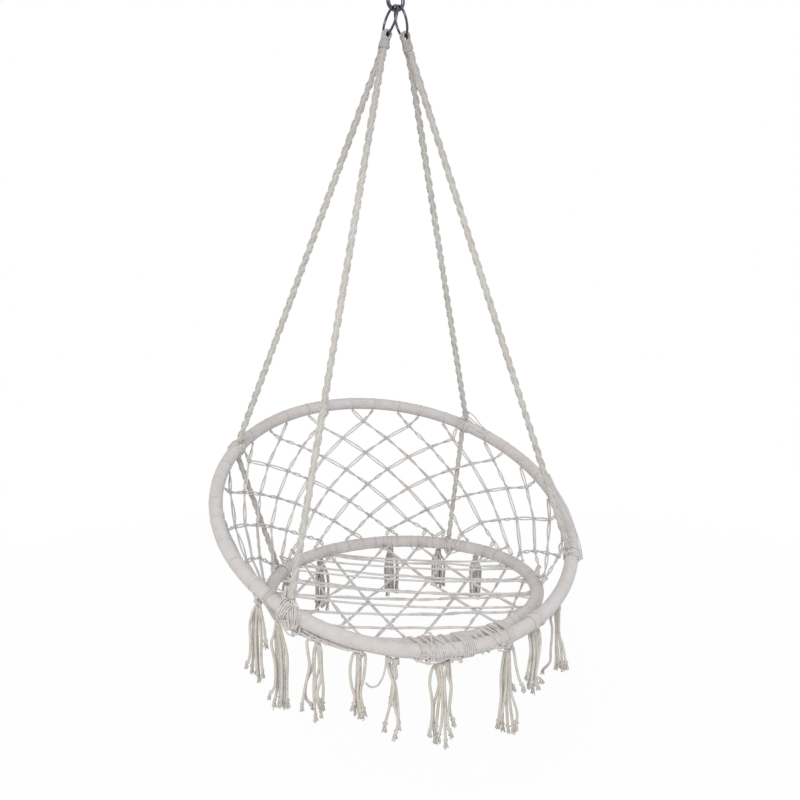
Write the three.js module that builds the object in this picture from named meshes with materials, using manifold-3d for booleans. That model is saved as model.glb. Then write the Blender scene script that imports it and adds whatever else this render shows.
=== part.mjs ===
// A hanging macrame chair: two cord-wrapped steel hoops, knotted nets, four plaited ropes,
// two rings and a snap hook.
// Millimetres and degrees. +Z is up, the sitter faces -Y, and the origin is where the snap hook hangs.
import * as THREE from "three";
import { mergeVertices } from "three/addons/utils/BufferGeometryUtils.js";
import Module from "manifold-3d";

const wasm = await Module();
wasm.setup();

// Snap hook
const hookLength = 80;
const hookWidth = 40;
const hookWire = 8;
const tangThickness = 3;
const rivetDiameter = 3;
const pivotDrop = 42;
const gateReach = 24;
const gateOverlap = 6;
const gateTopClearance = 0.8;
const gateSpringDiameter = 3;
const gateSpringLength = 7;

// Steel rings in the bow of the hook
const ringOuter = 62;
const ringWire = 5;
const ringSeatDeg = 22;
const ringLeanDeg = 16.7;
const ringTwistDeg = { left: 0, right: 6 };

// Rope eyes on the rings, and the binding below them
const eyeCord = 4;
const eyeCordCount = 4;
const eyeCordPitchDeg = 8.6;
const eyePlay = 2.8;
const eyeLegLength = 9;
const neckWidth = 15;
const neckLength = 20;
const bindingThickness = 2.6;
const bindingLength = 15;

// Ropes and back stays
const ropeDiameter = 15;
const stayDiameter = 13;
const stayStandOff = 2;

// Hoops
const coverDiameter = 28;
const tubeDiameter = 20;
const tubeWall = 1.2;
const largeHoopOuter = 800;
const seatHoopOuter = 602;
const largeHoopTiltDeg = 26.2;
const seatHeight = 1248;
const hoopNestDistance = 32.8;
const hoopNestDeg = 0;
const largeHoopForward = 337;
const seamWidth = 1;
const ringSeam = 0.5;

// Where ropes, lashings and tassels meet the hoops, in degrees from the front centre
const frontRopeDeg = 55;
const backRopeDeg = 131;
const stayFootDeg = 132.6;
const ropeLashingLoops = 3;
const stayLashingLoops = 2;
const lashingCord = 4.4;
const lashingPitch = 5.2;
const hoopLashingDeg = { left: -12, right: 7.5 };
const hoopLashingLoops = 3;

// Nets
const strandWidth = 4.4;
const strandThickness = 3.2;
const leastMitreShare = 0.2;
const tiedEndShare = 0.1;
const hitchCord = 3.2;
const netColumnDeg = 9;
const netColumnsEachSide = 14;
const netFrontHitchDeg = 60;
const netRowPitch = 39.4;
const netFirstRow = 5.6;
const netEndReach = 30;
const netLastGap = 49;
const netLegShare = 0.46;
const legClearance = 7;
const seatNetSag = 13;
const seatNetDropDeg = 28;
const seatStationDeg = 18;
const seatStationOffsetDeg = 3;
const seatStationsEachSide = 10;
const runCount = 4;
const runSpacing = 116;
const slantSpacing = 90;
const slantShift = 9;
const risingSlopeShare = 0.97;
const fallingSlopeShare = -0.65;
const fallingShift = -40;
const mergeDistance = 15;
const shortestSeatCord = 175;

// Tassels: degrees from the front centre, length as a share of the longest, and number of cords
const tasselLength = 186;
const tasselCord = 3.6;
const tasselSpread = 15;
const tasselHeadWidth = 15;
const tasselHeadHeight = 17;
const tasselCrownShare = 0.3;
const tasselWaistShare = 0.35;
const tasselRootShare = 0.8;
const tasselRootRadiusShare = 0.16;
const tasselUnevenShare = 0.06;
const tasselUnevenSteps = 3;
const frontTasselShares = {
  tassel_front_1: { deg: -65.6, length: 0.82, cords: 6 },
  tassel_front_2: { deg: -58.2, length: 0.84, cords: 6 },
  tassel_front_3: { deg: -45, length: 0.87, cords: 6 },
  tassel_front_4: { deg: -33, length: 0.73, cords: 5 },
  tassel_front_5: { deg: -23, length: 0.94, cords: 4 },
  tassel_front_6: { deg: -9, length: 0.98, cords: 7 },
  tassel_front_7: { deg: 11.2, length: 1, cords: 6 },
  tassel_front_8: { deg: 21.6, length: 0.78, cords: 6 },
  tassel_front_9: { deg: 35.4, length: 0.74, cords: 4 },
};
const backTasselShares = {
  tassel_back_1: { deg: -137.3, length: 0.62, cords: 5 },
  tassel_back_2: { deg: -160.6, length: 0.71, cords: 6 },
  tassel_back_3: { deg: 161.5, length: 0.66, cords: 6 },
  tassel_back_4: { deg: 137.3, length: 0.55, cords: 5 },
  tassel_back_5: { deg: 117, length: 0.6, cords: 5 },
};

// The one loose cord: its route from under the large hoop into the fourth front tassel
const looseCordDiameter = 3.6;
const looseCordDeg = -25.6;

// Clearances and facets
const seatGap = 0.3;
const slideGap = 0.45;
const cut = 1;
const largeHoopSteps = 34;
const seatHoopSteps = 28;
const coverSides = 10;
const tubeSides = 8;
const boreSides = 6;
const ropeSides = 8;
const ropeSteps = 16;
const staySteps = 4;
const wireSides = 8;
const ringSteps = 24;
const bowSteps = 10;
const loopSteps = 12;
const loopSides = 5;
const windingSides = 4;
const hitchSteps = 6;
const hitchSides = 3;
const tasselHeadSides = 6;
const tasselCordSides = 3;
const sleeveSides = 12;
const weldDistance = 1e-4;
const parallelLimit = 1e-9;
const facetNudge = 0.01;

// Derived sizes
const coverRadius = coverDiameter / 2;
const tubeRadius = tubeDiameter / 2;
const largeRadius = largeHoopOuter / 2 - coverRadius;
const seatRadius = seatHoopOuter / 2 - coverRadius;
const wireRadius = hookWire / 2;
const bowRadius = hookWidth / 2 - wireRadius;
const bowInner = bowRadius - wireRadius;
const bowCentreZ = -(hookLength - hookWidth) - bowInner;
const ringRadius = (ringOuter - ringWire) / 2;
const ringTopDistance = bowInner - slideGap - ringWire / 2;
const hitchReach = (coverRadius + seatGap + hitchCord / 2) / Math.cos(Math.PI / hitchSteps);
const lashingReach = seatGap + lashingCord / 2;
const lashingOuter = (coverRadius + lashingReach) / Math.cos(Math.PI / loopSteps) + lashingCord / 2;
const tieReach = coverRadius + seatGap + hitchCord / 2;

const X = new THREE.Vector3(1, 0, 0);
const Y = new THREE.Vector3(0, 1, 0);
const Z = new THREE.Vector3(0, 0, 1);
const rad = THREE.MathUtils.degToRad;
const point = (x, y, z) => new THREE.Vector3(x, y, z);
const along = (origin, direction, distance) => origin.clone().addScaledVector(direction, distance);
const towards = (a, b) => b.clone().sub(a).normalize();

// Finishes
const finish = (color, roughness, metalness) =>
  new THREE.MeshStandardMaterial({ color, roughness, metalness });
const hardware = finish(0x9aa0aa, 0.25, 1);
const tubeSteel = finish(0x8b8d90, 0.45, 1);
const cotton = finish(0xe6e0d8, 0.9, 0);
const cottonNet = finish(0xddd8d0, 0.9, 0);
const cottonCover = finish(0xe2dbd6, 0.85, 0);

const chair = new THREE.Group();

function addPiece(name, geometry, material) {
  const mesh = new THREE.Mesh(geometry, material);
  mesh.name = name;
  chair.add(mesh);
  return mesh;
}

// Solids for cutting and joining
function solidOf(geometry) {
  const bare = geometry.index ? geometry.toNonIndexed() : geometry.clone();
  bare.deleteAttribute("normal");
  bare.deleteAttribute("uv");
  const merged = mergeVertices(bare, weldDistance);
  return new wasm.Manifold(
    new wasm.Mesh({
      numProp: 3,
      vertProperties: new Float32Array(merged.attributes.position.array),
      triVerts: new Uint32Array(merged.index.array),
    }),
  );
}

function geometryOf(solid) {
  const mesh = solid.getMesh();
  const geometry = new THREE.BufferGeometry();
  geometry.setAttribute("position", new THREE.BufferAttribute(new Float32Array(mesh.vertProperties), 3));
  geometry.setIndex(new THREE.BufferAttribute(new Uint32Array(mesh.triVerts), 1));
  return geometry.toNonIndexed();
}

// A solid from the corners of its triangles
function closedSolid(positions) {
  const geometry = new THREE.BufferGeometry();
  geometry.setAttribute("position", new THREE.Float32BufferAttribute(positions, 3));
  return solidOf(geometry);
}

const joined = (solids) => solids.reduce((whole, next) => whole.add(next));

// A path that steps exactly through its points
class Route extends THREE.Curve {
  constructor(points) {
    super();
    this.points = points;
  }
  getPoint(t) {
    const place = t * (this.points.length - 1);
    const index = Math.min(Math.floor(place), this.points.length - 2);
    return this.points[index].clone().lerp(this.points[index + 1], place - index);
  }
  getTangent(t) {
    const index = Math.round(t * (this.points.length - 1));
    const before = this.points[Math.max(index - 1, 0)];
    const after = this.points[Math.min(index + 1, this.points.length - 1)];
    return towards(before, after);
  }
  getPointAt(u) {
    return this.getPoint(u);
  }
  getTangentAt(u) {
    return this.getTangent(u);
  }
}

function roundOutline(radius, sides) {
  const outline = [];
  for (let i = 0; i < sides; i++) {
    const angle = (2 * Math.PI * i) / sides;
    outline.push(new THREE.Vector2(radius * Math.cos(angle), radius * Math.sin(angle)));
  }
  return outline;
}

function sweep(points, radius, sides, bore = 0, boreFacets = boreSides) {
  const section = new THREE.Shape(roundOutline(radius, sides));
  if (bore > 0) section.holes.push(new THREE.Path(roundOutline(bore, boreFacets)));
  const settings = { steps: points.length - 1, extrudePath: new Route(points), bevelEnabled: false };
  return new THREE.ExtrudeGeometry(section, settings);
}

// A plain round bar between two points
function bar(from, to, radius, sides) {
  return sweep([from, to], radius, sides);
}

// A block centred on a point
function block(centre, width, depth, height) {
  return solidOf(new THREE.BoxGeometry(width, depth, height).translate(centre.x, centre.y, centre.z));
}

// The hoops are regular polygons, so everything on them is placed on the facets
function makeHoop(centre, back, radius, steps) {
  const corner = (index) => {
    const angle = (2 * Math.PI * index) / steps;
    return centre
      .clone()
      .addScaledVector(X, radius * Math.sin(angle))
      .addScaledVector(back, -radius * Math.cos(angle));
  };
  const at = (degrees) => {
    const place = (degrees / 360) * steps;
    const index = Math.floor(place);
    return corner(index).lerp(corner(index + 1), place - index);
  };
  const tangent = (degrees) => {
    const place = (degrees / 360) * steps;
    const facet = (d) => towards(corner(Math.floor(d)), corner(Math.floor(d) + 1));
    return facet(place + facetNudge).add(facet(place - facetNudge)).normalize();
  };
  const normal = X.clone().cross(back);
  return { centre, back, radius, steps, at, tangent, normal };
}

const tiltBack = point(0, Math.cos(rad(largeHoopTiltDeg)), Math.sin(rad(largeHoopTiltDeg)));
const largeFront = point(
  0,
  -largeHoopForward,
  -seatHeight - hoopNestDistance * Math.sin(rad(hoopNestDeg)),
);
const seatFrontY = largeFront.y + hoopNestDistance * Math.cos(rad(hoopNestDeg));
const largeHoop = makeHoop(along(largeFront, tiltBack, largeRadius), tiltBack, largeRadius, largeHoopSteps);
const seatHoop = makeHoop(point(0, seatFrontY + seatRadius, -seatHeight), Y, seatRadius, seatHoopSteps);

function hoopRoute(hoop, seamDeg) {
  const gapDeg = THREE.MathUtils.radToDeg(seamWidth / hoop.radius);
  const facetDeg = 360 / hoop.steps;
  const route = [hoop.at(seamDeg + gapDeg / 2)];
  for (let i = 1; i <= hoop.steps; i++) {
    const next = Math.ceil(seamDeg / facetDeg + i - 1) * facetDeg;
    if (next > seamDeg + gapDeg / 2 && next < seamDeg + 360 - gapDeg / 2) route.push(hoop.at(next));
  }
  route.push(hoop.at(seamDeg + 360 - gapDeg / 2));
  return route;
}

// Steel tube with its butt seam, and the cord cover wound over it, both meeting under a lashing
function addHoop(name, hoop, seamDeg) {
  const route = hoopRoute(hoop, seamDeg);
  const bore = tubeRadius - tubeWall;
  addPiece(name + "_tube", sweep(route, tubeRadius, tubeSides, bore, boreSides), tubeSteel);
  const cover = sweep(route, coverRadius, coverSides, tubeRadius + seatGap, tubeSides);
  addPiece(name + "_cover", cover, cottonCover);
}

// Snap hook: a bent wire body, a gate on a rivet that closes its right side, and the gate's spring
const legX = bowRadius;
const pivot = point(legX, 0, -pivotDrop);
const noseZ = pivot.z + gateReach;
const tongueReach = gateOverlap / 2;
const turnClearance = Math.hypot(wireRadius, tongueReach) + slideGap;

function bowArc(centreZ, fromDeg, toDeg) {
  const arc = [];
  for (let i = 0; i <= bowSteps; i++) {
    const angle = rad(THREE.MathUtils.lerp(fromDeg, toDeg, i / bowSteps));
    arc.push(point(bowRadius * Math.cos(angle), 0, centreZ + bowRadius * Math.sin(angle)));
  }
  return arc;
}

// Cuts a wire leg down to a middle tongue between two heights, or slots it there
function cheeks(fromZ, toZ) {
  const depth = hookWire;
  const sideY = tangThickness / 2 + depth / 2;
  const middle = (fromZ + toZ) / 2;
  const cheek = (side) => block(point(legX, side * sideY, middle), 2 * hookWire, depth, toZ - fromZ);
  return cheek(-1).add(cheek(1));
}

function slot(fromZ, toZ) {
  const width = tangThickness + 2 * slideGap;
  return block(point(legX, 0, (fromZ + toZ) / 2), 2 * hookWire, width, toZ - fromZ);
}

function crossBar(length, diameter) {
  return bar(along(pivot, Y, -length / 2), along(pivot, Y, length / 2), diameter / 2, wireSides);
}

function addSnapHook() {
  const route = [
    point(legX, 0, pivot.z + tongueReach),
    ...bowArc(bowCentreZ, 0, -180),
    ...bowArc(-bowInner, 180, 0),
    point(legX, 0, noseZ - gateOverlap),
  ];
  const body = solidOf(sweep(route, wireRadius, wireSides))
    .subtract(cheeks(pivot.z - turnClearance, pivot.z + 2 * tongueReach))
    .subtract(cheeks(noseZ - 2 * gateOverlap, noseZ))
    .subtract(solidOf(crossBar(2 * hookWire, rivetDiameter + 2 * slideGap)));
  addPiece("hook_body", geometryOf(body), hardware);
  addPiece("gate_rivet", crossBar(hookWire, rivetDiameter), hardware);
}

function addGate() {
  const footZ = pivot.z - tongueReach;
  const headZ = noseZ - gateTopClearance;
  const springZ = pivot.z + turnClearance;
  const springAt = (z) => point(legX, 0, z);
  const bore = bar(
    springAt(springZ - cut),
    springAt(springZ + gateSpringLength + seatGap),
    gateSpringDiameter / 2 + seatGap,
    wireSides,
  );
  const gate = solidOf(bar(point(legX, 0, footZ), point(legX, 0, headZ), wireRadius, wireSides))
    .subtract(slot(footZ - cut, springZ))
    .subtract(slot(noseZ - gateOverlap - slideGap, headZ + cut))
    .subtract(solidOf(bore))
    .subtract(solidOf(crossBar(2 * hookWire, rivetDiameter + 2 * seatGap)));
  addPiece("gate", geometryOf(gate), hardware);
  const springTop = springAt(springZ + gateSpringLength);
  const spring = bar(springAt(springZ), springTop, gateSpringDiameter / 2, wireSides);
  addPiece("gate_spring", spring, hardware);
}

// Rings, eyes and bindings: each side hangs on its own line from the bow
function hangingLine(side) {
  const sign = side === "left" ? -1 : 1;
  const seat = rad(ringSeatDeg);
  const lean = rad(ringLeanDeg);
  const top = point(
    sign * ringTopDistance * Math.sin(seat),
    0,
    bowCentreZ - ringTopDistance * Math.cos(seat),
  );
  const down = point(sign * Math.sin(lean), 0, -Math.cos(lean));
  const level = Y.clone().applyAxisAngle(down, rad(ringTwistDeg[side]));
  const flat = level.clone().cross(down).normalize();
  return { top, down, level, flat, centre: along(top, down, ringRadius) };
}

function onRing(line, distance, angle) {
  const lowered = along(line.centre, line.down, distance * Math.cos(angle));
  return along(lowered, line.level, distance * Math.sin(angle));
}

// The ring is closed with a weld: its two ends meet at a hairline under the rope eye
function addRing(side) {
  const line = hangingLine(side);
  const route = [];
  const hairline = ringSeam / 2 / ringRadius;
  for (let i = 0; i <= ringSteps; i++) {
    const angle = THREE.MathUtils.lerp(hairline, 2 * Math.PI - hairline, i / ringSteps);
    route.push(onRing(line, ringRadius, angle));
  }
  addPiece("ring_" + side, sweep(route, ringWire / 2, wireSides), hardware);
}

// One cord of the eye: up one side of the ring wire, over it inside the ring, and down the other side
function eyeLoop(line, angle) {
  const radial = onRing(line, 1, angle).sub(line.centre);
  const arch = ringWire / 2 + eyePlay + eyeCord / 2;
  const rise = eyePlay - 2 * seatGap;
  const centre = along(onRing(line, ringRadius, angle), radial, rise);
  const route = [];
  for (let i = 0; i <= loopSteps / 2; i++) {
    const turn = (Math.PI * i) / (loopSteps / 2);
    route.push(along(along(centre, line.flat, arch * Math.cos(turn)), radial, -arch * Math.sin(turn)));
  }
  const foot = (side) => {
    const spread = line.level.clone().multiplyScalar(ringRadius * Math.sin(angle));
    const base = along(neckTop(line), line.down, eyeCord / 2).add(spread);
    return along(base, line.flat, (side * (neckWidth - eyeCord)) / 2);
  };
  return sweep([foot(1), ...route, foot(-1)], eyeCord / 2, loopSides);
}

const neckTop = (line) => along(line.centre, line.down, ringRadius + ringWire / 2 + eyeLegLength);

// An oval column along a line, for the neck and its binding
function ovalColumn(line, start, length, width, depth, bore = null) {
  const section = (w, d) =>
    roundOutline(1, sleeveSides).map((p) => new THREE.Vector2((p.x * w) / 2, (p.y * d) / 2));
  const shape = new THREE.Shape(section(width, depth));
  if (bore) shape.holes.push(new THREE.Path(section(bore.width, bore.depth)));
  const column = new THREE.ExtrudeGeometry(shape, { depth: length, bevelEnabled: false });
  const turn = new THREE.Matrix4().makeBasis(line.flat, line.down.clone().cross(line.flat), line.down);
  column.applyMatrix4(turn.setPosition(along(neckTop(line), line.down, start)));
  return column;
}

const neckDepth = 2 * ropeDiameter + seatGap;

function addEye(side) {
  const line = hangingLine(side);
  const loops = [];
  for (let i = 0; i < eyeCordCount; i++) {
    const angle = rad((i - (eyeCordCount - 1) / 2) * eyeCordPitchDeg);
    loops.push(solidOf(eyeLoop(line, angle)));
  }
  const neck = solidOf(ovalColumn(line, 0, neckLength, neckWidth, neckDepth));
  addPiece("rope_eye_" + side, geometryOf(joined([neck, ...loops])), cotton);
  const bore = { width: neckWidth + 2 * seatGap, depth: neckDepth + 2 * seatGap };
  const binding = ovalColumn(
    line,
    (neckLength - bindingLength) / 2,
    bindingLength,
    bore.width + 2 * bindingThickness,
    bore.depth + 2 * bindingThickness,
    bore,
  );
  addPiece("rope_binding_" + side, binding, cotton);
}

// The front and back ropes of a side leave the neck side by side and run straight to the hoop
function ropeEnds(side, row) {
  const line = hangingLine(side);
  const sign = side === "left" ? -1 : 1;
  const sideways = line.level.clone().multiplyScalar(row === "front" ? -1 : 1);
  const start = along(
    along(neckTop(line), line.down, neckLength + seatGap),
    sideways,
    (ropeDiameter + seatGap) / 2,
  );
  const degrees = sign * (row === "front" ? frontRopeDeg : backRopeDeg);
  return { start, end: lashedEnd(largeHoop, degrees, start, ropeDiameter / 2) };
}

// Where the centre of a square-cut rope of a given radius ends on a lashing, on the side it comes from
function lashedEnd(hoop, degrees, from, radius) {
  const middle = hoop.at(degrees);
  const tangent = hoop.tangent(degrees);
  const way = towards(middle, from).projectOnPlane(tangent).normalize();
  const lean = Math.abs(tangent.dot(towards(middle, from)));
  return along(middle, way, lashingOuter + seatGap + radius * lean);
}

function addRope(side, row) {
  const { start, end } = ropeEnds(side, row);
  const line = hangingLine(side);
  const knee = along(start, line.down, ropeDiameter);
  const route = [start, knee];
  for (let i = 1; i < ropeSteps; i++) route.push(knee.clone().lerp(end, i / (ropeSteps - 1)));
  addPiece(`rope_${row}_${side}`, sweep(route, ropeDiameter / 2, ropeSides), cotton);
}

// Lashings: one cord wound round a hoop, or round both hoops at the front
function leastSelfGap(route, diameter, stepsPerTurn) {
  let least = Infinity;
  for (let i = 0; i < route.length; i++) {
    for (let j = i + Math.floor(stepsPerTurn / 2); j < route.length; j++) {
      least = Math.min(least, route[i].distanceTo(route[j]) - diameter);
    }
  }
  return least;
}

function addWinding(name, route, stepsPerTurn) {
  const gap = leastSelfGap(route, lashingCord, stepsPerTurn);
  console.log(name + " least gap between turns", gap.toFixed(2), "mm");
  addPiece(name, sweep(route, lashingCord / 2, windingSides), cotton);
}

function addLashing(name, hoop, degrees, loops) {
  const reach = (coverRadius + lashingReach) / Math.cos(Math.PI / loopSteps);
  const middle = hoop.at(degrees);
  const tangent = hoop.tangent(degrees);
  const outward = towards(hoop.centre, middle).projectOnPlane(tangent).normalize();
  const route = [];
  for (let i = 0; i <= loops * loopSteps; i++) {
    const turn = (2 * Math.PI * i) / loopSteps;
    const shift = (i / loopSteps - loops / 2) * lashingPitch;
    const centre = along(middle, tangent, shift);
    route.push(along(along(centre, outward, reach * Math.cos(turn)), hoop.normal, reach * Math.sin(turn)));
  }
  addWinding(name, route, loopSteps);
}

// Where a hoop's front part crosses a plane of constant x
function hoopAtX(hoop, x) {
  const angle = THREE.MathUtils.radToDeg(Math.asin(x / hoop.radius));
  return hoop.at(angle);
}

// A place on the loop round both hoops: half a turn round the large hoop, then half round the seat hoop
function roundBoth(x, share, reach) {
  const half = loopSteps / 2;
  const low = hoopAtX(largeHoop, x);
  const high = hoopAtX(seatHoop, x);
  const axis = towards(low, high).projectOnPlane(X).normalize();
  const across = axis.clone().cross(X);
  const turn = Math.PI * (share % 1) * (half / (half - 1));
  const side = share < 1 ? -1 : 1;
  const centre = share < 1 ? low : high;
  return along(along(centre, across, -side * reach * Math.cos(turn)), axis, side * reach * Math.sin(turn));
}

function addHoopLashing(side) {
  const reach = (coverRadius + seatGap + lashingReach) / Math.cos(Math.PI / loopSteps);
  const middleX = largeHoop.radius * Math.sin(rad(hoopLashingDeg[side]));
  const route = [];
  for (let i = 0; i <= hoopLashingLoops * loopSteps; i++) {
    const x = middleX + (i / loopSteps - hoopLashingLoops / 2) * lashingPitch;
    route.push(roundBoth(x, (2 * (i % loopSteps)) / loopSteps, reach));
  }
  addWinding("hoop_lashing_" + side, route, loopSteps);
}

// Back stays: short ropes outside the net from the large hoop down to the seat hoop
function addStay(side) {
  const sign = side === "left" ? -1 : 1;
  const high = largeHoop.at(sign * backRopeDeg);
  const low = seatHoop.at(sign * stayFootDeg);
  const down = towards(high, low);
  const tangent = largeHoop.tangent(sign * backRopeDeg);
  const outward = down.clone().cross(tangent).normalize();
  if (outward.dot(towards(largeHoop.centre, high)) < 0) outward.negate();
  const offset = stayDiameter / 2 + strandThickness / 2 + stayStandOff;
  const head = lashedEnd(largeHoop, sign * backRopeDeg, low, 0);
  const foot = lashedEnd(seatHoop, sign * stayFootDeg, high, 0);
  const from = along(head, outward, offset);
  const to = along(foot, outward, offset);
  const route = [];
  for (let i = 0; i <= staySteps; i++) route.push(from.clone().lerp(to, i / staySteps));
  addPiece("stay_" + side, sweep(route, stayDiameter / 2, ropeSides), cotton);
}

// A net as one solid: flat strands that meet in mitred knots
function netSolid(knots, strands) {
  const neighbours = knots.map(() => []);
  strands.forEach(([a, b]) => {
    neighbours[a].push(b);
    neighbours[b].push(a);
  });
  const positions = [];
  const quad = (a, b, c, d) => [a, b, c, a, c, d].forEach((p) => positions.push(p.x, p.y, p.z));
  const corners = knots.map((knot, index) => knotCorners(knot, neighbours[index].map((j) => [j, knots[j]])));
  const lift = (p, knot, side) => along(p, knot.normal, (side * strandThickness) / 2);
  strands.forEach(([a, b]) => {
    const from = corners[a].get(b);
    const to = corners[b].get(a);
    const p = (corner, knot, side) => lift(corner, knots[knot], side);
    quad(p(from.right, a, 1), p(to.left, b, 1), p(to.right, b, 1), p(from.left, a, 1));
    quad(p(from.left, a, -1), p(to.right, b, -1), p(to.left, b, -1), p(from.right, a, -1));
    quad(p(from.right, a, -1), p(to.left, b, -1), p(to.left, b, 1), p(from.right, a, 1));
    quad(p(from.left, a, 1), p(to.right, b, 1), p(to.right, b, -1), p(from.left, a, -1));
  });
  knots.forEach((knot, index) => knotFaces(knot, corners[index], lift, positions, quad));
  return closedSolid(positions);
}

// The corners between a knot's strands, in order round its normal
function knotCorners(knot, others) {
  const first = others[0][1].place.clone().sub(knot.place).projectOnPlane(knot.normal).normalize();
  const second = knot.normal.clone().cross(first);
  const ordered = others
    .map(([index, other]) => {
      const way = other.place.clone().sub(knot.place);
      return { index, angle: Math.atan2(way.dot(second), way.dot(first)) };
    })
    .sort((a, b) => a.angle - b.angle);
  const found = new Map();
  const direction = (angle, distance) =>
    along(along(knot.place, first, Math.cos(angle) * distance), second, Math.sin(angle) * distance);
  ordered.forEach((strand, i) => {
    const next = ordered[(i + 1) % ordered.length];
    const open = ordered.length === 1 ? Math.PI : (next.angle - strand.angle + 2 * Math.PI) % (2 * Math.PI);
    const mitre = strandWidth / 2 / Math.max(Math.sin(open / 2), leastMitreShare);
    const reach = knot.tied && open > Math.PI ? strandWidth * tiedEndShare : mitre;
    const corner = direction(strand.angle + open / 2, reach);
    found.set(strand.index, { ...(found.get(strand.index) || {}), left: corner });
    found.set(next.index, { ...(found.get(next.index) || {}), right: corner });
  });
  if (ordered.length === 1) {
    const end = found.get(ordered[0].index);
    end.right = direction(ordered[0].angle - Math.PI / 2, strandWidth / 2);
    end.left = direction(ordered[0].angle + Math.PI / 2, strandWidth / 2);
  }
  found.order = ordered.map((strand) => strand.index);
  return found;
}

function knotFaces(knot, corners, lift, positions, quad) {
  const order = corners.order;
  if (order.length === 1) {
    const { left, right } = corners.get(order[0]);
    quad(lift(left, knot, 1), lift(left, knot, -1), lift(right, knot, -1), lift(right, knot, 1));
  }
  if (order.length < 3) return;
  const ring = order.map((index) => corners.get(index).left);
  for (let i = 1; i + 1 < ring.length; i++) {
    const top = [ring[0], ring[i], ring[i + 1]].map((p) => lift(p, knot, 1));
    const under = [ring[0], ring[i + 1], ring[i]].map((p) => lift(p, knot, -1));
    [...top, ...under].forEach((p) => positions.push(p.x, p.y, p.z));
  }
}

// A hitch: the loop of cord that ties a net to a hoop
function hitch(hoop, degrees) {
  const middle = hoop.at(degrees);
  const tangent = hoop.tangent(degrees);
  const outward = towards(hoop.centre, middle).projectOnPlane(tangent).normalize();
  const upward = tangent.clone().cross(outward);
  const positions = [];
  const section = (step, side) => {
    const turn = (2 * Math.PI * step) / hitchSteps;
    const facet = (2 * Math.PI * side) / hitchSides;
    const radial = outward.clone().multiplyScalar(Math.cos(turn)).addScaledVector(upward, Math.sin(turn));
    const reach = hitchReach + (hitchCord / 2) * Math.cos(facet + Math.PI);
    return along(along(middle, radial, reach), tangent, (hitchCord / 2) * Math.sin(facet + Math.PI));
  };
  for (let step = 0; step < hitchSteps; step++) {
    for (let side = 0; side < hitchSides; side++) {
      const a = section(step, side);
      const b = section(step + 1, side);
      const c = section(step + 1, side + 1);
      const d = section(step, side + 1);
      [a, b, c, a, c, d].forEach((p) => positions.push(p.x, p.y, p.z));
    }
  }
  return closedSolid(positions);
}

// Where a net's cord meets its hitch: square off the hoop, on the side of a given point
function tiePoint(hoop, degrees, side) {
  const middle = hoop.at(degrees);
  const way = towards(middle, side).projectOnPlane(hoop.tangent(degrees)).normalize();
  return along(middle, way, tieReach);
}

// Back net: diamonds of one size between the two hoops, in fewer rows where the hoops come together.
// Columns are counted from the back centre, and the outermost on each side are closer together.
function columnDeg(column) {
  const even = Math.min(Math.abs(column), netColumnsEachSide - 1);
  const beyond = Math.abs(column) - even;
  const lastStep = 180 - netFrontHitchDeg - (netColumnsEachSide - 1) * netColumnDeg;
  return 180 + Math.sign(column) * (even * netColumnDeg + beyond * lastStep);
}

function backKnot(column, row) {
  const degrees = columnDeg(column);
  const high = largeHoop.at(degrees);
  const low = seatHoop.at(degrees);
  const gap = high.distanceTo(low);
  const down = towards(high, low);
  const distance = netFirstRow + row * netRowPitch;
  const last = gap - distance < netLastGap;
  const normal = down.clone().cross(largeHoop.tangent(degrees)).normalize();
  return { place: along(high, down, last ? gap - netEndReach : distance), normal, column, row, last };
}

// Where a leg meets a hoop: it stops short of what is already wound there, given as places and widths
function legDeg(column, side, hoop, taken) {
  const from = columnDeg(column);
  let degrees = columnDeg(column + side * netLegShare);
  for (const { deg, width } of taken) {
    const clearDeg = THREE.MathUtils.radToDeg((width + legClearance) / hoop.radius);
    for (const bound of [deg, 360 - deg]) {
      const passes = side * (bound - from) > 0 && side * (bound - degrees) < clearDeg;
      if (passes) degrees = bound - side * clearDeg;
    }
  }
  return degrees;
}

// The legs that tie a knot next to a hoop to hitches of its own: two, or one at an edge
function addLegs(net, index, hoop, taken) {
  const { column, place, normal } = net.knots[index];
  const sides = Math.abs(column) < netColumnsEachSide ? [-1, 1] : [Math.sign(column)];
  for (const side of sides) {
    const degrees = legDeg(column, side, hoop, taken);
    net.hitches.push([hoop, degrees]);
    net.knots.push({ place: tiePoint(hoop, degrees, place), normal, tied: true });
    net.strands.push([index, net.knots.length - 1]);
  }
}

const lashingOn = (deg, loops) => ({ deg, width: (loops * lashingPitch + lashingCord) / 2 });

function buildBackNet() {
  const net = { knots: [], strands: [], hitches: [] };
  const seatHitches = stationAngles().map((deg) => ({ deg, width: hitchCord / 2 }));
  const found = new Map();
  const knotAt = (column, row) => {
    const key = column + ":" + row;
    if (!found.has(key)) found.set(key, net.knots.push(backKnot(column, row)) - 1);
    return found.get(key);
  };
  for (let column = 1 - netColumnsEachSide; column < netColumnsEachSide; column += 2) knotAt(column, 1);
  for (let index = 0; index < net.knots.length; index++) {
    const { column, row, last } = net.knots[index];
    if (last) continue;
    for (const side of [-1, 1]) {
      const beside = column + side;
      if (Math.abs(beside) <= netColumnsEachSide) net.strands.push([index, knotAt(beside, row + 1)]);
    }
  }
  [...net.knots].forEach(({ row, last }, index) => {
    if (row === 1) addLegs(net, index, largeHoop, [lashingOn(backRopeDeg, ropeLashingLoops)]);
    if (last) addLegs(net, index, seatHoop, [lashingOn(stayFootDeg, stayLashingLoops), ...seatHitches]);
  });
  return net;
}

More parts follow.
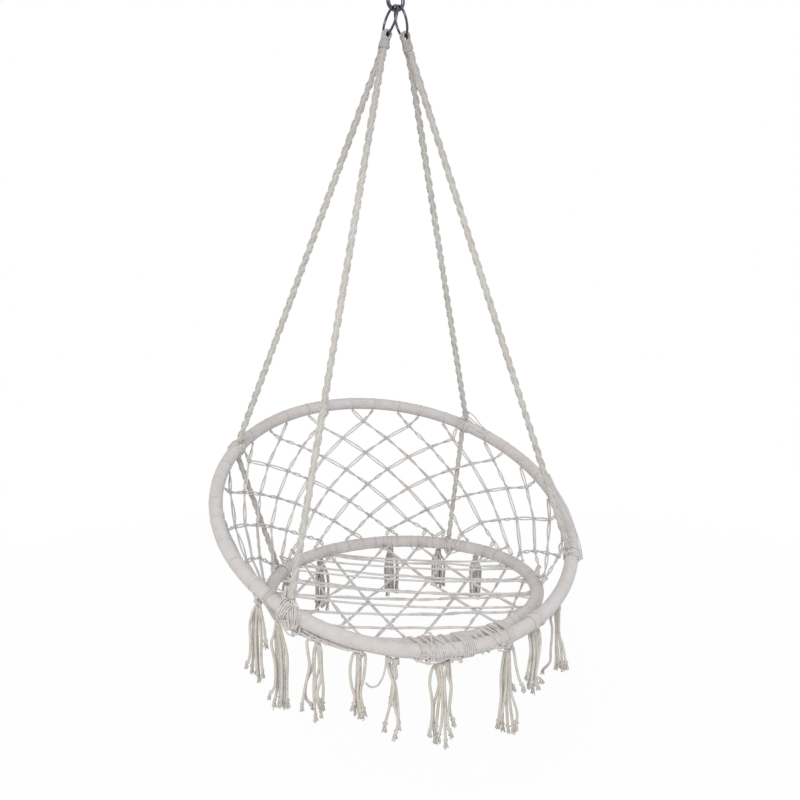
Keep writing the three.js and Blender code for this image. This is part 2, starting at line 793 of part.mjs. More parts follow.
// A net's cords and the hitches that tie it to the hoops, as one piece
function addNet(name, knots, strands, hitches) {
  const ties = hitches.map(([hoop, degrees]) => hitch(hoop, degrees));
  const net = joined([netSolid(knots, strands), ...ties]);
  console.log(name + ":", strands.length, "strands,", knots.length, "knots,", hitches.length, "hitches");
  addPiece(name, geometryOf(net), cottonNet);
}

function addBackNet() {
  const { knots, strands, hitches } = buildBackNet();
  addNet("back_net", knots, strands, hitches);
}

// Seat net: straight cords in three directions, crossing in triangles and hexagons, and dished by their slack
const seatNetRadius = seatRadius - tieReach * Math.cos(rad(seatNetDropDeg));
const seatNetEdgeZ = -tieReach * Math.sin(rad(seatNetDropDeg));

function seatNetPlace(x, y) {
  const share = Math.min(1, (x * x + y * y) / (seatNetRadius * seatNetRadius));
  const z = seatNetEdgeZ - seatNetSag * (1 - share);
  return seatHoop.centre.clone().add(point(x, y, z));
}

function stationAngles() {
  const angles = [];
  for (let i = 0; i < seatStationsEachSide; i++) {
    const angle = seatStationOffsetDeg + i * seatStationDeg;
    angles.push(angle, -angle);
  }
  return angles;
}

function stationPoint(degrees) {
  const edge = seatHoop.at(degrees).sub(seatHoop.centre);
  const inward = 1 - (seatRadius - seatNetRadius) / edge.length();
  return new THREE.Vector2(edge.x * inward, edge.y * inward);
}

// Each cord as a line through the seat, ended at the nearest hitches
function seatLines() {
  const lines = [];
  const span = Math.ceil((2 * seatRadius) / slantSpacing);
  for (let i = 0; i < runCount; i++) {
    const offset = i - (runCount - 1) / 2;
    lines.push({ from: new THREE.Vector2(offset * runSpacing, 0), way: new THREE.Vector2(0, 1) });
  }
  for (let i = -span; i <= span; i++) {
    const rising = new THREE.Vector2(1, risingSlopeShare).normalize();
    const falling = new THREE.Vector2(1, fallingSlopeShare).normalize();
    lines.push({ from: new THREE.Vector2(0, slantShift + i * slantSpacing), way: rising });
    lines.push({ from: new THREE.Vector2(0, fallingShift + i * slantSpacing), way: falling });
  }
  return lines.map(snapToStations).filter(Boolean);
}

function snapToStations({ from, way }) {
  const middle = from.clone().addScaledVector(way, -from.dot(way));
  const reach = seatNetRadius * seatNetRadius - middle.lengthSq();
  if (reach <= 0) return null;
  const half = Math.sqrt(reach);
  const ends = [-half, half].map((distance) => {
    const spot = middle.clone().addScaledVector(way, distance);
    return stationAngles().reduce((best, angle) =>
      stationPoint(angle).distanceTo(spot) < stationPoint(best).distanceTo(spot) ? angle : best,
    );
  });
  return stationPoint(ends[0]).distanceTo(stationPoint(ends[1])) < shortestSeatCord ? null : ends;
}

function crossing(a, b, c, d) {
  const first = b.clone().sub(a);
  const second = d.clone().sub(c);
  const denominator = first.cross(second);
  if (Math.abs(denominator) < parallelLimit) return null;
  const t = c.clone().sub(a).cross(second) / denominator;
  const u = c.clone().sub(a).cross(first) / denominator;
  return t > 0 && t < 1 && u > 0 && u < 1 ? a.clone().addScaledVector(first, t) : null;
}

// The places where the seat's cords end or cross, with near ones merged
function seatSpots() {
  const spots = [];
  const spotAt = (spot, degrees = null) => {
    const near = spots.findIndex((s) => s.spot.distanceTo(spot) < mergeDistance);
    return near >= 0 ? near : spots.push({ spot, degrees }) - 1;
  };
  return { spots, spotAt };
}

// The stops of one cord on its way through the others, in order
function stopsAlong([start, finish], cords, spots, spotAt) {
  const a = stationPoint(start);
  const b = stationPoint(finish);
  const stops = [spotAt(a), spotAt(b)];
  cords.forEach(([otherStart, otherFinish]) => {
    const meet = crossing(a, b, stationPoint(otherStart), stationPoint(otherFinish));
    if (meet) stops.push(spotAt(meet));
  });
  const distance = (index) => spots[index].spot.clone().sub(a).dot(b.clone().sub(a));
  return [...new Set(stops)].sort((p, q) => distance(p) - distance(q));
}

function seatNetGraph() {
  const ends = seatLines();
  const cords = ends.filter((e, i) => ends.findIndex((o) => o[0] === e[0] && o[1] === e[1]) === i);
  const { spots, spotAt } = seatSpots();
  cords.flat().forEach((angle) => spotAt(stationPoint(angle), angle));
  const strands = new Map();
  cords.forEach((cord) => {
    const stops = stopsAlong(cord, cords, spots, spotAt);
    for (let i = 0; i + 1 < stops.length; i++) {
      const key = [stops[i], stops[i + 1]].sort((p, q) => p - q).join(":");
      strands.set(key, [stops[i], stops[i + 1]]);
    }
  });
  const knots = spots.map(({ spot, degrees }) => ({
    place: seatNetPlace(spot.x, spot.y),
    normal: Z.clone(),
    tied: degrees !== null,
  }));
  const hitches = spots.filter((s) => s.degrees !== null).map((s) => [seatHoop, s.degrees]);
  return { knots, strands: [...strands.values()], hitches };
}

function addSeatNet() {
  const { knots, strands, hitches } = seatNetGraph();
  addNet("seat_net", knots, strands, hitches);
}

// The highest place under a hoop for something flat-topped of a given radius
function underHoop(hoop, degrees, radius) {
  const slope = Math.asin(Math.abs(hoop.tangent(degrees).z));
  const below = coverRadius / Math.cos(slope) + radius * Math.tan(slope);
  return along(hoop.at(degrees), Z, -below - seatGap);
}

// Tassels: a knotted head under the hoop and a bunch of cords below it
function tasselHead(top) {
  const crown = tasselHeadWidth * tasselCrownShare;
  const profile = [
    new THREE.Vector2(0, 0),
    new THREE.Vector2(crown, 0),
    new THREE.Vector2(tasselHeadWidth / 2, -tasselHeadHeight * tasselWaistShare),
    new THREE.Vector2(crown, -tasselHeadHeight),
    new THREE.Vector2(0, -tasselHeadHeight),
  ].reverse();
  const head = new THREE.LatheGeometry(profile, tasselHeadSides).rotateX(Math.PI / 2);
  return head.translate(top.x, top.y, top.z);
}

function addTassel(name, hoop, { deg, length, cords }) {
  const top = underHoop(hoop, deg, tasselHeadWidth * tasselCrownShare);
  const solids = [solidOf(tasselHead(top))];
  const root = along(top, Z, -tasselHeadHeight * tasselRootShare);
  const fall = tasselLength * length - tasselHeadHeight;
  for (let i = 0; i < cords; i++) {
    const angle = (2 * Math.PI * i) / cords + rad(deg);
    const out = point(Math.cos(angle), Math.sin(angle), 0);
    const start = along(root, out, tasselHeadWidth * tasselRootRadiusShare);
    const cordFall = fall * (1 - tasselUnevenShare * (i % tasselUnevenSteps));
    const tip = along(along(root, out, tasselSpread), Z, -cordFall);
    solids.push(solidOf(bar(start, tip, tasselCord / 2, tasselCordSides)));
  }
  addPiece(name, geometryOf(joined(solids)), cotton);
}

// The loose cord hangs from under the large hoop beside one tassel and runs into the next
function addLooseCord() {
  const start = underHoop(largeHoop, looseCordDeg, looseCordDiameter);
  const level = largeHoop.tangent(looseCordDeg).negate().projectOnPlane(Z).normalize();
  const routeSteps = [
    [0, 0],
    [1, -12],
    [3, -25],
    [6, -38],
    [11, -49],
    [17, -57],
    [25, -60],
    [32, -58],
    [38, -52],
  ];
  const route = routeSteps.map(([across, fall]) => along(along(start, level, across), Z, fall));
  addPiece("loose_cord", sweep(route, looseCordDiameter / 2, ropeSides), cotton);
}

addSnapHook();
addGate();
for (const side of ["left", "right"]) {
  addRing(side);
  addEye(side);
  addRope(side, "front");
  addRope(side, "back");
  addStay(side);
  addHoopLashing(side);
  const sign = side === "left" ? -1 : 1;
  addLashing("rope_lashing_front_" + side, largeHoop, sign * frontRopeDeg, ropeLashingLoops);
  addLashing("rope_lashing_back_" + side, largeHoop, sign * backRopeDeg, ropeLashingLoops);
  addLashing("stay_lashing_" + side, seatHoop, sign * stayFootDeg, stayLashingLoops);
}
addHoop("large_hoop", largeHoop, -backRopeDeg);
addHoop("seat_hoop", seatHoop, -stayFootDeg);
addBackNet();
addSeatNet();
for (const [name, tassel] of Object.entries(frontTasselShares)) addTassel(name, largeHoop, tassel);
for (const [name, tassel] of Object.entries(backTasselShares)) addTassel(name, seatHoop, tassel);
addLooseCord();

export default chair;
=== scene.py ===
"""Looks of a hanging macrame chair: wound hoops, knotted nets, plaited ropes, tassels and steel hardware.

Lengths are metres, +Z is up and the sitter faces -Y. The chair hangs at the origin.
"""

import math
import random
from collections import namedtuple

import bmesh
import bpy
import numpy as np
from mathutils import Matrix, Vector
from mathutils.geometry import interpolate_bezier, intersect_line_line_2d


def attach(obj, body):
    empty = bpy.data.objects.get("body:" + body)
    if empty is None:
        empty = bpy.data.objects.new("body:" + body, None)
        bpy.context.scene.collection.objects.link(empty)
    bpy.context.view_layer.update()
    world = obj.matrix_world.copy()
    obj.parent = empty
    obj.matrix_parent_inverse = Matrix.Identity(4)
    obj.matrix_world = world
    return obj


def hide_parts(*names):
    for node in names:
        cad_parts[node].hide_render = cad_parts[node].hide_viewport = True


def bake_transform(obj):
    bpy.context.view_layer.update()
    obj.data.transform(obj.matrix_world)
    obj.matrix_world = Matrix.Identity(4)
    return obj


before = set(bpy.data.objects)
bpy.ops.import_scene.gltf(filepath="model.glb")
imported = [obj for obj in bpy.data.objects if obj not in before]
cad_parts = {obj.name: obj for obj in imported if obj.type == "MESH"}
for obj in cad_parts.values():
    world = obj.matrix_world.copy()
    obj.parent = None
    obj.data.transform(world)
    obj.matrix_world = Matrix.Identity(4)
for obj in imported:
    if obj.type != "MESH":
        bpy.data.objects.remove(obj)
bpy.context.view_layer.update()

MM = 0.001
X, Y, Z = Vector((1, 0, 0)), Vector((0, 1, 0)), Vector((0, 0, 1))
SIGN = {"left": -1, "right": 1}
chance = random.Random(7)

# Camera: in front of the chair, to its left, above the seat and rolled a little
FRAME_PIXELS = 800
FOCAL_PIXELS = 845.4
SENSOR_WIDTH = 36
CAMERA_TURN = math.radians(24.76)
CAMERA_DIP = math.radians(9.786)
CAMERA_ROLL = math.radians(0.419)

eye_point = Vector((-733.8, -1598.0, -538.4)) * MM
gaze = Vector(
    (
        math.sin(CAMERA_TURN) * math.cos(CAMERA_DIP),
        math.cos(CAMERA_TURN) * math.cos(CAMERA_DIP),
        -math.sin(CAMERA_DIP),
    )
)
gaze_right = Matrix.Rotation(CAMERA_ROLL, 3, gaze) @ gaze.cross(Z).normalized()
gaze_up = gaze_right.cross(gaze)


def add_object(name, data):
    item = bpy.data.objects.new(name, data)
    bpy.context.collection.objects.link(item)
    return item


def add_camera():
    data = bpy.data.cameras.new("camera")
    data.sensor_width = SENSOR_WIDTH
    data.lens = SENSOR_WIDTH * FOCAL_PIXELS / FRAME_PIXELS
    camera = add_object("camera", data)
    turn = Matrix((gaze_right, gaze_up, -gaze)).transposed()
    camera.matrix_world = Matrix.Translation(eye_point) @ turn.to_4x4()
    bpy.context.scene.camera = camera


def at_pixel(x, y, near, depth=0.0):
    """The place seen at a pixel of the photo, in the upright plane through a point, moved back by depth."""
    half = FRAME_PIXELS / 2
    ray = gaze + gaze_right * ((x - half) / FOCAL_PIXELS) + gaze_up * ((half - y) / FOCAL_PIXELS)
    level = Vector((gaze.x, gaze.y, 0)).normalized()
    reach = (near - eye_point).dot(level) + depth
    return eye_point + ray * (reach / ray.dot(level))


add_camera()

# Hoops: the seat hoop is level and sits inside the front of the large one, which leans back
COVER_RADIUS = 14 * MM
COVER_CORD = 2.9 * MM
LARGE_RADIUS = 386 * MM
SEAT_RADIUS = 287 * MM
LARGE_TILT = math.radians(26.2)
LARGE_FORWARD = 337 * MM
SEAT_HEIGHT = 1248 * MM
NEST = 32.8 * MM


class Hoop:
    """A round hoop. Places on it are degrees from the front centre, towards +X."""

    def __init__(self, centre, back, radius):
        self.centre, self.back, self.radius = centre, back, radius
        self.normal = X.cross(back)

    def outward(self, degrees):
        turn = math.radians(degrees)
        return X * math.sin(turn) - self.back * math.cos(turn)

    def tangent(self, degrees):
        turn = math.radians(degrees)
        return X * math.cos(turn) + self.back * math.sin(turn)

    def at(self, degrees):
        return self.centre + self.outward(degrees) * self.radius

    def skin(self, degrees, turn, reach):
        """A place beside the middle line: turn 0 is outward and a quarter turn is along the normal."""
        way = self.outward(degrees) * math.cos(turn) + self.normal * math.sin(turn)
        return self.at(degrees) + way * reach

    def turn_of(self, degrees, way):
        return math.atan2(way.dot(self.normal), way.dot(self.outward(degrees)))

    def front_at(self, x):
        """The place on the hoop's front half at one x."""
        return self.at(math.degrees(math.asin(x / self.radius)))

    def degrees_of(self, length):
        return math.degrees(length / self.radius)


tilt_back = Vector((0, math.cos(LARGE_TILT), math.sin(LARGE_TILT)))
large_front = Vector((0, -LARGE_FORWARD, -SEAT_HEIGHT))
large_hoop = Hoop(large_front + tilt_back * LARGE_RADIUS, tilt_back, LARGE_RADIUS)
seat_hoop = Hoop(Vector((0, NEST - LARGE_FORWARD + SEAT_RADIUS, -SEAT_HEIGHT)), Y, SEAT_RADIUS)

# Lines of cord
Cord = namedtuple("Cord", "line thickness closed", defaults=(False,))
SPAN_POINTS = 9
CORD_STEP = 4 * MM
WELD_DISTANCE = 0.001 * MM


def evenly(points, spacing):
    """The line again, in even steps of about a spacing."""
    flat = np.array([tuple(p) for p in points])
    run = np.concatenate([[0], np.cumsum(np.linalg.norm(np.diff(flat, axis=0), axis=1))])
    places = np.linspace(0, run[-1], max(2, math.ceil(run[-1] / spacing) + 1))
    return [Vector(p) for p in np.stack([np.interp(places, run, flat[:, k]) for k in range(3)], axis=1)]


def eased(points, spacing):
    """A smooth line through the points, in even steps: it leaves each point along its neighbours."""
    fine = []
    for i in range(len(points) - 1):
        a, b = points[i], points[i + 1]
        before, after = points[max(i - 1, 0)], points[min(i + 2, len(points) - 1)]
        fine += interpolate_bezier(a, a + (b - before) / 6, b - (after - a) / 6, b, SPAN_POINTS)[:-1]
    return evenly(fine + [points[-1]], spacing)


def length_of(line):
    return sum((b - a).length for a, b in zip(line, line[1:]))


def square_to(way, direction):
    """The part of a direction that is square to a way, as a unit vector."""
    return (direction - way * direction.dot(way)).normalized()


def shares(count):
    """Even shares of a way, from 0 to 1."""
    return [i / count for i in range(count + 1)]


def rounds(count):
    """Even angles round a circle."""
    return [math.tau * i / count for i in range(count)]


def level_way(turn):
    return Vector((math.cos(turn), math.sin(turn), 0))


def ways_along(line):
    return [(line[min(i + 1, len(line) - 1)] - line[max(i - 1, 0)]).normalized() for i in range(len(line))]


# Pieces
Look = namedtuple("Look", "finish slot")


def shown(name, mesh, look):
    """A new piece from a finished mesh."""
    mesh.materials.clear()
    mesh.materials.append(look.finish)
    piece = add_object(name, mesh)
    return piece


def corded(name, cords, look, sides=8):
    """A new piece made of round cords."""
    return shown(name, cord_mesh(name, cords, sides), look)


def riding(piece, body, *nodes):
    """The piece, moving with a body, in the place of some of the part's own nodes."""
    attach(piece, body)
    if nodes:
        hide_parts(*nodes)
    return piece


def add_spline(curve, cord):
    spline = curve.splines.new("POLY")
    count = len(cord.line)
    spline.points.add(count - 1)
    spline.points.foreach_set("co", [c for p in cord.line for c in (*p, 1)])
    thickness = cord.thickness if hasattr(cord.thickness, "__len__") else [cord.thickness] * count
    spline.points.foreach_set("radius", [t / 2 for t in thickness])
    spline.use_cyclic_u = cord.closed


def measure_map(mesh, cords, sides):
    """Stretches the map so that its first value runs along each cord in metres."""
    runs = [length_of(c.line) for c in cords]
    counts = [len(c.line) * sides for c in cords]
    caps = len(mesh.vertices) - sum(counts)
    stretch = np.concatenate([np.zeros(caps), np.repeat(runs, counts)])
    corner = np.zeros(len(mesh.loops), int)
    mesh.loops.foreach_get("vertex_index", corner)
    places = np.zeros(2 * len(mesh.loops))
    layer = mesh.uv_layers.active.data
    layer.foreach_get("uv", places)
    places[0::2] *= stretch[corner]
    layer.foreach_set("uv", places)


def finished(name, shape):
    """The mesh of a shape that is done with."""
    mesh = bpy.data.meshes.new(name)
    shape.to_mesh(mesh)
    shape.free()
    return mesh


def weld(mesh):
    shape = bmesh.new()
    shape.from_mesh(mesh)
    bmesh.ops.remove_doubles(shape, verts=shape.verts, dist=WELD_DISTANCE)
    shape.to_mesh(mesh)
    shape.free()


def cord_mesh(name, cords, sides=8):
    """One mesh from many round cords."""
    curve = bpy.data.curves.new(name, "CURVE")
    curve.dimensions = "3D"
    curve.bevel_depth = 1
    curve.bevel_resolution = (sides - 4) // 2
    curve.use_fill_caps = True
    for cord in cords:
        add_spline(curve, cord)
    holder = bpy.data.objects.new(name, curve)
    mesh = bpy.data.meshes.new_from_object(holder)
    bpy.data.objects.remove(holder)
    bpy.data.curves.remove(curve)
    measure_map(mesh, cords, sides)
    weld(mesh)
    return mesh


# Finishes
# The fibres' stretch and height, and the crown height below which the grooves between plies get painted shade
FIBRE_SCALE, FIBRE_HEIGHT, GROOVE_SHADE_EDGE = (600, 40, 1), 0.35, 0.45
# Cotton's patches, ageing and flecks of seed: the scale and detail of the noise, and where it starts and ends
PATCHES, AGEING, FLECKS = (14, 3, 0.4, 0.65), (55, 4, 0.45, 0.7), (900, 2, 0.68, 0.78)
AGEING_SHARE, FLECK_SHARE, TOP_GREY_SHARE = 0.5, 0.25, 0.85
# The heights between which the cotton turns greyer towards the top
TOP_GREY_HEIGHTS = (-0.45, -0.12)
COTTON_SURFACE = {
    "Roughness": 0.92,
    "Specular IOR Level": 0.2,
    "Sheen Weight": 0.15,
    "Sheen Roughness": 0.5,
}
SMUDGES, TURNING_MARKS, SMUDGE_SHARE, GRIND_STRENGTH = (160, 3), (2400, 2), 0.12, 0.4


def node_group(name, inputs, outputs):
    group = bpy.data.node_groups.new(name, "ShaderNodeTree")
    for direction, sockets in (("INPUT", inputs), ("OUTPUT", outputs)):
        for socket, kind in sockets:
            group.interface.new_socket(socket, in_out=direction, socket_type="NodeSocket" + kind)
    return group, group.nodes.new("NodeGroupInput"), group.nodes.new("NodeGroupOutput")


def value_node(tree, operation, *inputs):
    node = tree.nodes.new("ShaderNodeMath")
    node.operation = operation
    for socket, value in zip(node.inputs, inputs):
        join(tree, value, socket)
    return node.outputs[0]


def join(tree, value, socket):
    """Links an output to a socket, or writes a plain value on it."""
    if isinstance(value, bpy.types.NodeSocket):
        tree.links.new(value, socket)
    else:
        socket.default_value = value


def filled(node, values):
    """The node with plain values written on its inputs."""
    for name, value in values.items():
        node.inputs[name].default_value = value
    return node


def noise_node(tree, where, scale, detail=2.0):
    node = filled(tree.nodes.new("ShaderNodeTexNoise"), {"Scale": scale, "Detail": detail})
    tree.links.new(where, node.inputs["Vector"])
    return node.outputs["Fac"]


def ramp_node(tree, value, low, high):
    """0 below low, 1 above high."""
    node = filled(tree.nodes.new("ShaderNodeMapRange"), {"From Min": low, "From Max": high})
    tree.links.new(value, node.inputs["Value"])
    return node.outputs["Result"]


def blend_node(tree, share, first, second):
    node = tree.nodes.new("ShaderNodeMix")
    node.data_type = "RGBA"
    join(tree, share, node.inputs["Factor"])
    join(tree, first, node.inputs["A"])
    join(tree, second, node.inputs["B"])
    return node.outputs["Result"]


def plies_group():
    """Twisted plies and loose fibres on a cord, read from its map: metres along and turns round."""
    group, given, out = node_group(
        "twisted_plies", [("Plies", "Float"), ("Pitch", "Float")], [("Height", "Float"), ("Groove", "Float")]
    )
    place = group.nodes.new("ShaderNodeTexCoord").outputs["UV"]
    split = group.nodes.new("ShaderNodeSeparateXYZ")
    group.links.new(place, split.inputs[0])
    turns = value_node(group, "MULTIPLY", split.outputs["Y"], given.outputs["Plies"])
    climb = value_node(group, "DIVIDE", split.outputs["X"], given.outputs["Pitch"])
    phase = value_node(group, "MULTIPLY", value_node(group, "ADD", turns, climb), math.pi)
    crown = value_node(group, "ABSOLUTE", value_node(group, "SINE", phase))
    stretched = filled(group.nodes.new("ShaderNodeMapping"), {"Scale": FIBRE_SCALE})
    group.links.new(place, stretched.inputs["Vector"])
    fibre = noise_node(group, stretched.outputs["Vector"], 1, 3)
    height = value_node(group, "ADD", crown, value_node(group, "MULTIPLY", fibre, FIBRE_HEIGHT))
    group.links.new(height, out.inputs["Height"])
    # The mask of the grooves between the plies, which the tone darkens as painted shade
    group.links.new(ramp_node(group, crown, GROOVE_SHADE_EDGE, 0), out.inputs["Groove"])
    return group


def tone_group():
    """Cotton's colour: warm patches, and grey from age, in flecks, towards the top, and as painted shade in
    grooves.
    """
    group, given, out = node_group(
        "cotton_tone",
        [("Color", "Color"), ("Warm", "Color"), ("Grey", "Color"), ("Groove", "Float"), ("Depth", "Float")],
        [("Color", "Color")],
    )
    place = group.nodes.new("ShaderNodeTexCoord").outputs["Object"]
    split = group.nodes.new("ShaderNodeSeparateXYZ")
    group.links.new(place, split.inputs[0])
    patches, ageing, flecks = (
        ramp_node(group, noise_node(group, place, scale, detail), low, high)
        for scale, detail, low, high in (PATCHES, AGEING, FLECKS)
    )
    colour = blend_node(group, patches, given.outputs["Color"], given.outputs["Warm"])
    greying = (
        (ageing, AGEING_SHARE),
        (flecks, FLECK_SHARE),
        # greyer towards the top
        (ramp_node(group, split.outputs["Z"], *TOP_GREY_HEIGHTS), TOP_GREY_SHARE),
        # painted shade: the grooves between the plies are darkened in colour
        (given.outputs["Groove"], given.outputs["Depth"]),
    )
    for where, share in greying:
        amount = value_node(group, "MULTIPLY", where, share)
        colour = blend_node(group, amount, colour, given.outputs["Grey"])
    group.links.new(colour, out.inputs["Color"])
    return group


def grind_group():
    """Fine turning marks and smudges on polished steel."""
    outputs = [("Roughness", "Float"), ("Height", "Float")]
    group, given, out = node_group("fine_grind", [("Shine", "Float")], outputs)
    place = group.nodes.new("ShaderNodeTexCoord").outputs["Object"]
    smudge = value_node(group, "MULTIPLY", noise_node(group, place, *SMUDGES), SMUDGE_SHARE)
    rough = value_node(group, "ADD", given.outputs["Shine"], smudge)
    group.links.new(rough, out.inputs["Roughness"])
    group.links.new(noise_node(group, place, *TURNING_MARKS), out.inputs["Height"])
    return group


def placed(tree, group, **values):
    node = tree.nodes.new("ShaderNodeGroup")
    node.node_tree = group
    for name, value in values.items():
        join(tree, value, node.inputs[name])
    return node


def bare_finish(name):
    material = bpy.data.materials.new(name)
    material.use_nodes = True
    return material, material.node_tree, material.node_tree.nodes["Principled BSDF"]


def raise_surface(tree, shader, height, distance, strength=1.0):
    bump = filled(tree.nodes.new("ShaderNodeBump"), {"Distance": distance, "Strength": strength})
    tree.links.new(height, bump.inputs["Height"])
    tree.links.new(bump.outputs["Normal"], shader.inputs["Normal"])


def cotton_finish(name, colour, warm, grey, plies, pitch, relief, depth=0.6):
    """Cotton of some plies: pitch is their length along the cord and depth is how dark the painted shade in
    their grooves is.
    """
    material, tree, shader = bare_finish(name)
    yarn = placed(tree, twisted_plies, Plies=plies, Pitch=pitch)
    colours = {"Color": (*colour, 1), "Warm": (*warm, 1), "Grey": (*grey, 1)}
    tone = placed(tree, cotton_tone, **colours, Groove=yarn.outputs["Groove"], Depth=depth)
    tree.links.new(tone.outputs["Color"], shader.inputs["Base Color"])
    raise_surface(tree, shader, yarn.outputs["Height"], relief)
    filled(shader, COTTON_SURFACE)
    return material


def steel_finish(name, colour, shine, relief):
    material, tree, shader = bare_finish(name)
    grind = placed(tree, fine_grind, Shine=shine)
    tree.links.new(grind.outputs["Roughness"], shader.inputs["Roughness"])
    raise_surface(tree, shader, grind.outputs["Height"], relief, GRIND_STRENGTH)
    filled(shader, {"Base Color": (*colour, 1), "Metallic": 1})
    return material


twisted_plies = plies_group()
cotton_tone = tone_group()
fine_grind = grind_group()

# Each cotton: its own colour, its warm patches, and its grey for age, for the top and for painted shade in
# the grooves
GREY_COTTON = (0.40, 0.38, 0.37)
ROPE_TONES = (0.575, 0.56, 0.54), (0.56, 0.53, 0.49), GREY_COTTON
NET_TONES = (0.65, 0.635, 0.63), (0.62, 0.59, 0.57), GREY_COTTON
TASSEL_TONES = (0.62, 0.60, 0.56), (0.60, 0.55, 0.48), GREY_COTTON
SHADED_TONES = (0.49, 0.46, 0.43), (0.46, 0.42, 0.38), (0.24, 0.22, 0.21)
WRAP_TONES = (0.61, 0.59, 0.58), (0.61, 0.565, 0.54), (0.47, 0.44, 0.43)
COVER_TONES = (0.565, 0.55, 0.55), (0.57, 0.525, 0.50), (0.46, 0.44, 0.445)
cover_cotton = cotton_finish("cover_cotton", *COVER_TONES, 14, 4 * MM, 0.15 * MM, 0.25)
ROPE_LOOK = Look(cotton_finish("rope_cotton", *ROPE_TONES, 3, 9 * MM, 0.5 * MM), "cotton_rope")
NET_LOOK = Look(cotton_finish("net_cotton", *NET_TONES, 3, 8 * MM, 0.3 * MM, 0.45), "cotton_net")
TASSEL_LOOK = Look(cotton_finish("tassel_cotton", *TASSEL_TONES, 3, 10 * MM, 0.5 * MM), "cotton_tassel")
SHADED_LOOK = Look(cotton_finish("shaded_cotton", *SHADED_TONES, 3, 10 * MM, 0.5 * MM), "cotton_tassel")
WRAP_LOOK = Look(cotton_finish("wrap_cotton", *WRAP_TONES, 3, 9 * MM, 0.3 * MM, 0.4), "cotton_rope")
COVER_LOOK, HITCH_LOOK = Look(cover_cotton, "cotton_cover"), Look(cover_cotton, "cotton_net")
# Hardware steel: its very dark, bluish colour is a painted dark reflection that stands in for dark
# surroundings
STEEL_LOOK = Look(steel_finish("polished_steel", (0.085, 0.088, 0.115), 0.1, 0.02 * MM), "hardware_steel")
TUBE_LOOK = Look(steel_finish("tube_steel", (0.55, 0.55, 0.56), 0.3, 0.05 * MM), "hoop_steel")

# Snap hook, rings and the line that each side hangs on
HOOK_LENGTH, HOOK_WIDTH, HOOK_WIRE = 80 * MM, 40 * MM, 8 * MM
PIVOT_DROP, GATE_REACH, GATE_OVERLAP = 42 * MM, 24 * MM, 6 * MM
TONGUE, RIVET, SLIDE = 3 * MM, 3 * MM, 0.45 * MM
RING_OUTER, RING_WIRE = 62 * MM, 5 * MM
RING_SEAT, RING_LEAN = math.radians(22), math.radians(16.7)
RING_TWIST = {"left": 0, "right": math.radians(6)}
EYE_LEG = 9 * MM
NECK_WIDTH, NECK_LENGTH = 15 * MM, 20 * MM
ROPE_DIAMETER, STAY_DIAMETER, STAY_STAND_OFF = 15 * MM, 13 * MM, 2 * MM
SEAT_GAP = 0.3 * MM

BOW_RADIUS = (HOOK_WIDTH - HOOK_WIRE) / 2
BOW_INNER = BOW_RADIUS - HOOK_WIRE / 2
LOW_BOW = -(HOOK_LENGTH - HOOK_WIDTH) - BOW_INNER
RING_RADIUS = (RING_OUTER - RING_WIRE) / 2
NECK_DEPTH = 2 * ROPE_DIAMETER + SEAT_GAP

HangingLine = namedtuple("HangingLine", "down level flat centre neck")


def hanging_line(side):
    """The ring's centre and the rope's neck on one side, and the ways down, level and flat to both."""
    sign = SIGN[side]
    drop = BOW_INNER - SLIDE - RING_WIRE / 2
    top = Vector((sign * drop * math.sin(RING_SEAT), 0, LOW_BOW - drop * math.cos(RING_SEAT)))
    down = Vector((sign * math.sin(RING_LEAN), 0, -math.cos(RING_LEAN)))
    level = Matrix.Rotation(RING_TWIST[side], 3, down) @ Y
    flat = level.cross(down).normalized()
    centre = top + down * RING_RADIUS
    return HangingLine(down, level, flat, centre, centre + down * (RING_RADIUS + RING_WIRE / 2 + EYE_LEG))


lines = {side: hanging_line(side) for side in SIGN}

# Ropes: the front and back ropes of a side run from its neck to the large hoop
ROPE_FOOT = {"front": 55, "back": 131}
ROW_SHIFT = {"front": -1, "back": 1}
ROPE_TUCK, ROPE_STEP = 9 * MM, 3.5 * MM
STAY_FOOT = 132.6
LASHING_OUTER = 19.28 * MM


def lashed_end(hoop, degrees, source, radius):
    """Where a rope that comes from a point ends on a hoop's lashing."""
    middle, tangent = hoop.at(degrees), hoop.tangent(degrees)
    way = (source - middle).normalized()
    lean = abs(tangent.dot(way))
    return middle + square_to(tangent, way) * (LASHING_OUTER + SEAT_GAP + radius * lean)


def rope_line(side, row):
    line = lines[side]
    beside = line.level * ROW_SHIFT[row] * (ROPE_DIAMETER + SEAT_GAP) / 2
    start = line.neck + line.down * (NECK_LENGTH + SEAT_GAP) + beside
    end = lashed_end(large_hoop, SIGN[side] * ROPE_FOOT[row], start, ROPE_DIAMETER / 2)
    knee = start + line.down * ROPE_DIAMETER
    return evenly([start - line.down * ROPE_TUCK, knee, end], ROPE_STEP)


# A plait's width, the length of one turn, its cords' thickness and how widely three of them are twisted
Plait = namedtuple("Plait", "width period cord bundle")
ROPE_PLAIT = Plait(ROPE_DIAMETER, 76 * MM, 3.4 * MM, 3.0 * MM)
STAY_PLAIT = Plait(STAY_DIAMETER, 66 * MM, 2.9 * MM, 2.7 * MM)
# Strands swing and rise by a share of the width, and their cords turn once in a share of the period
PLAIT_SWING, PLAIT_RISE, PLAIT_TWIST = 0.29, 0.12, 0.42
# The whole plait turns a little to and fro, in a slow and a quick wave
PLAIT_WANDER, SLOW_WAVE, QUICK_WAVE = 0.3, 9, 23


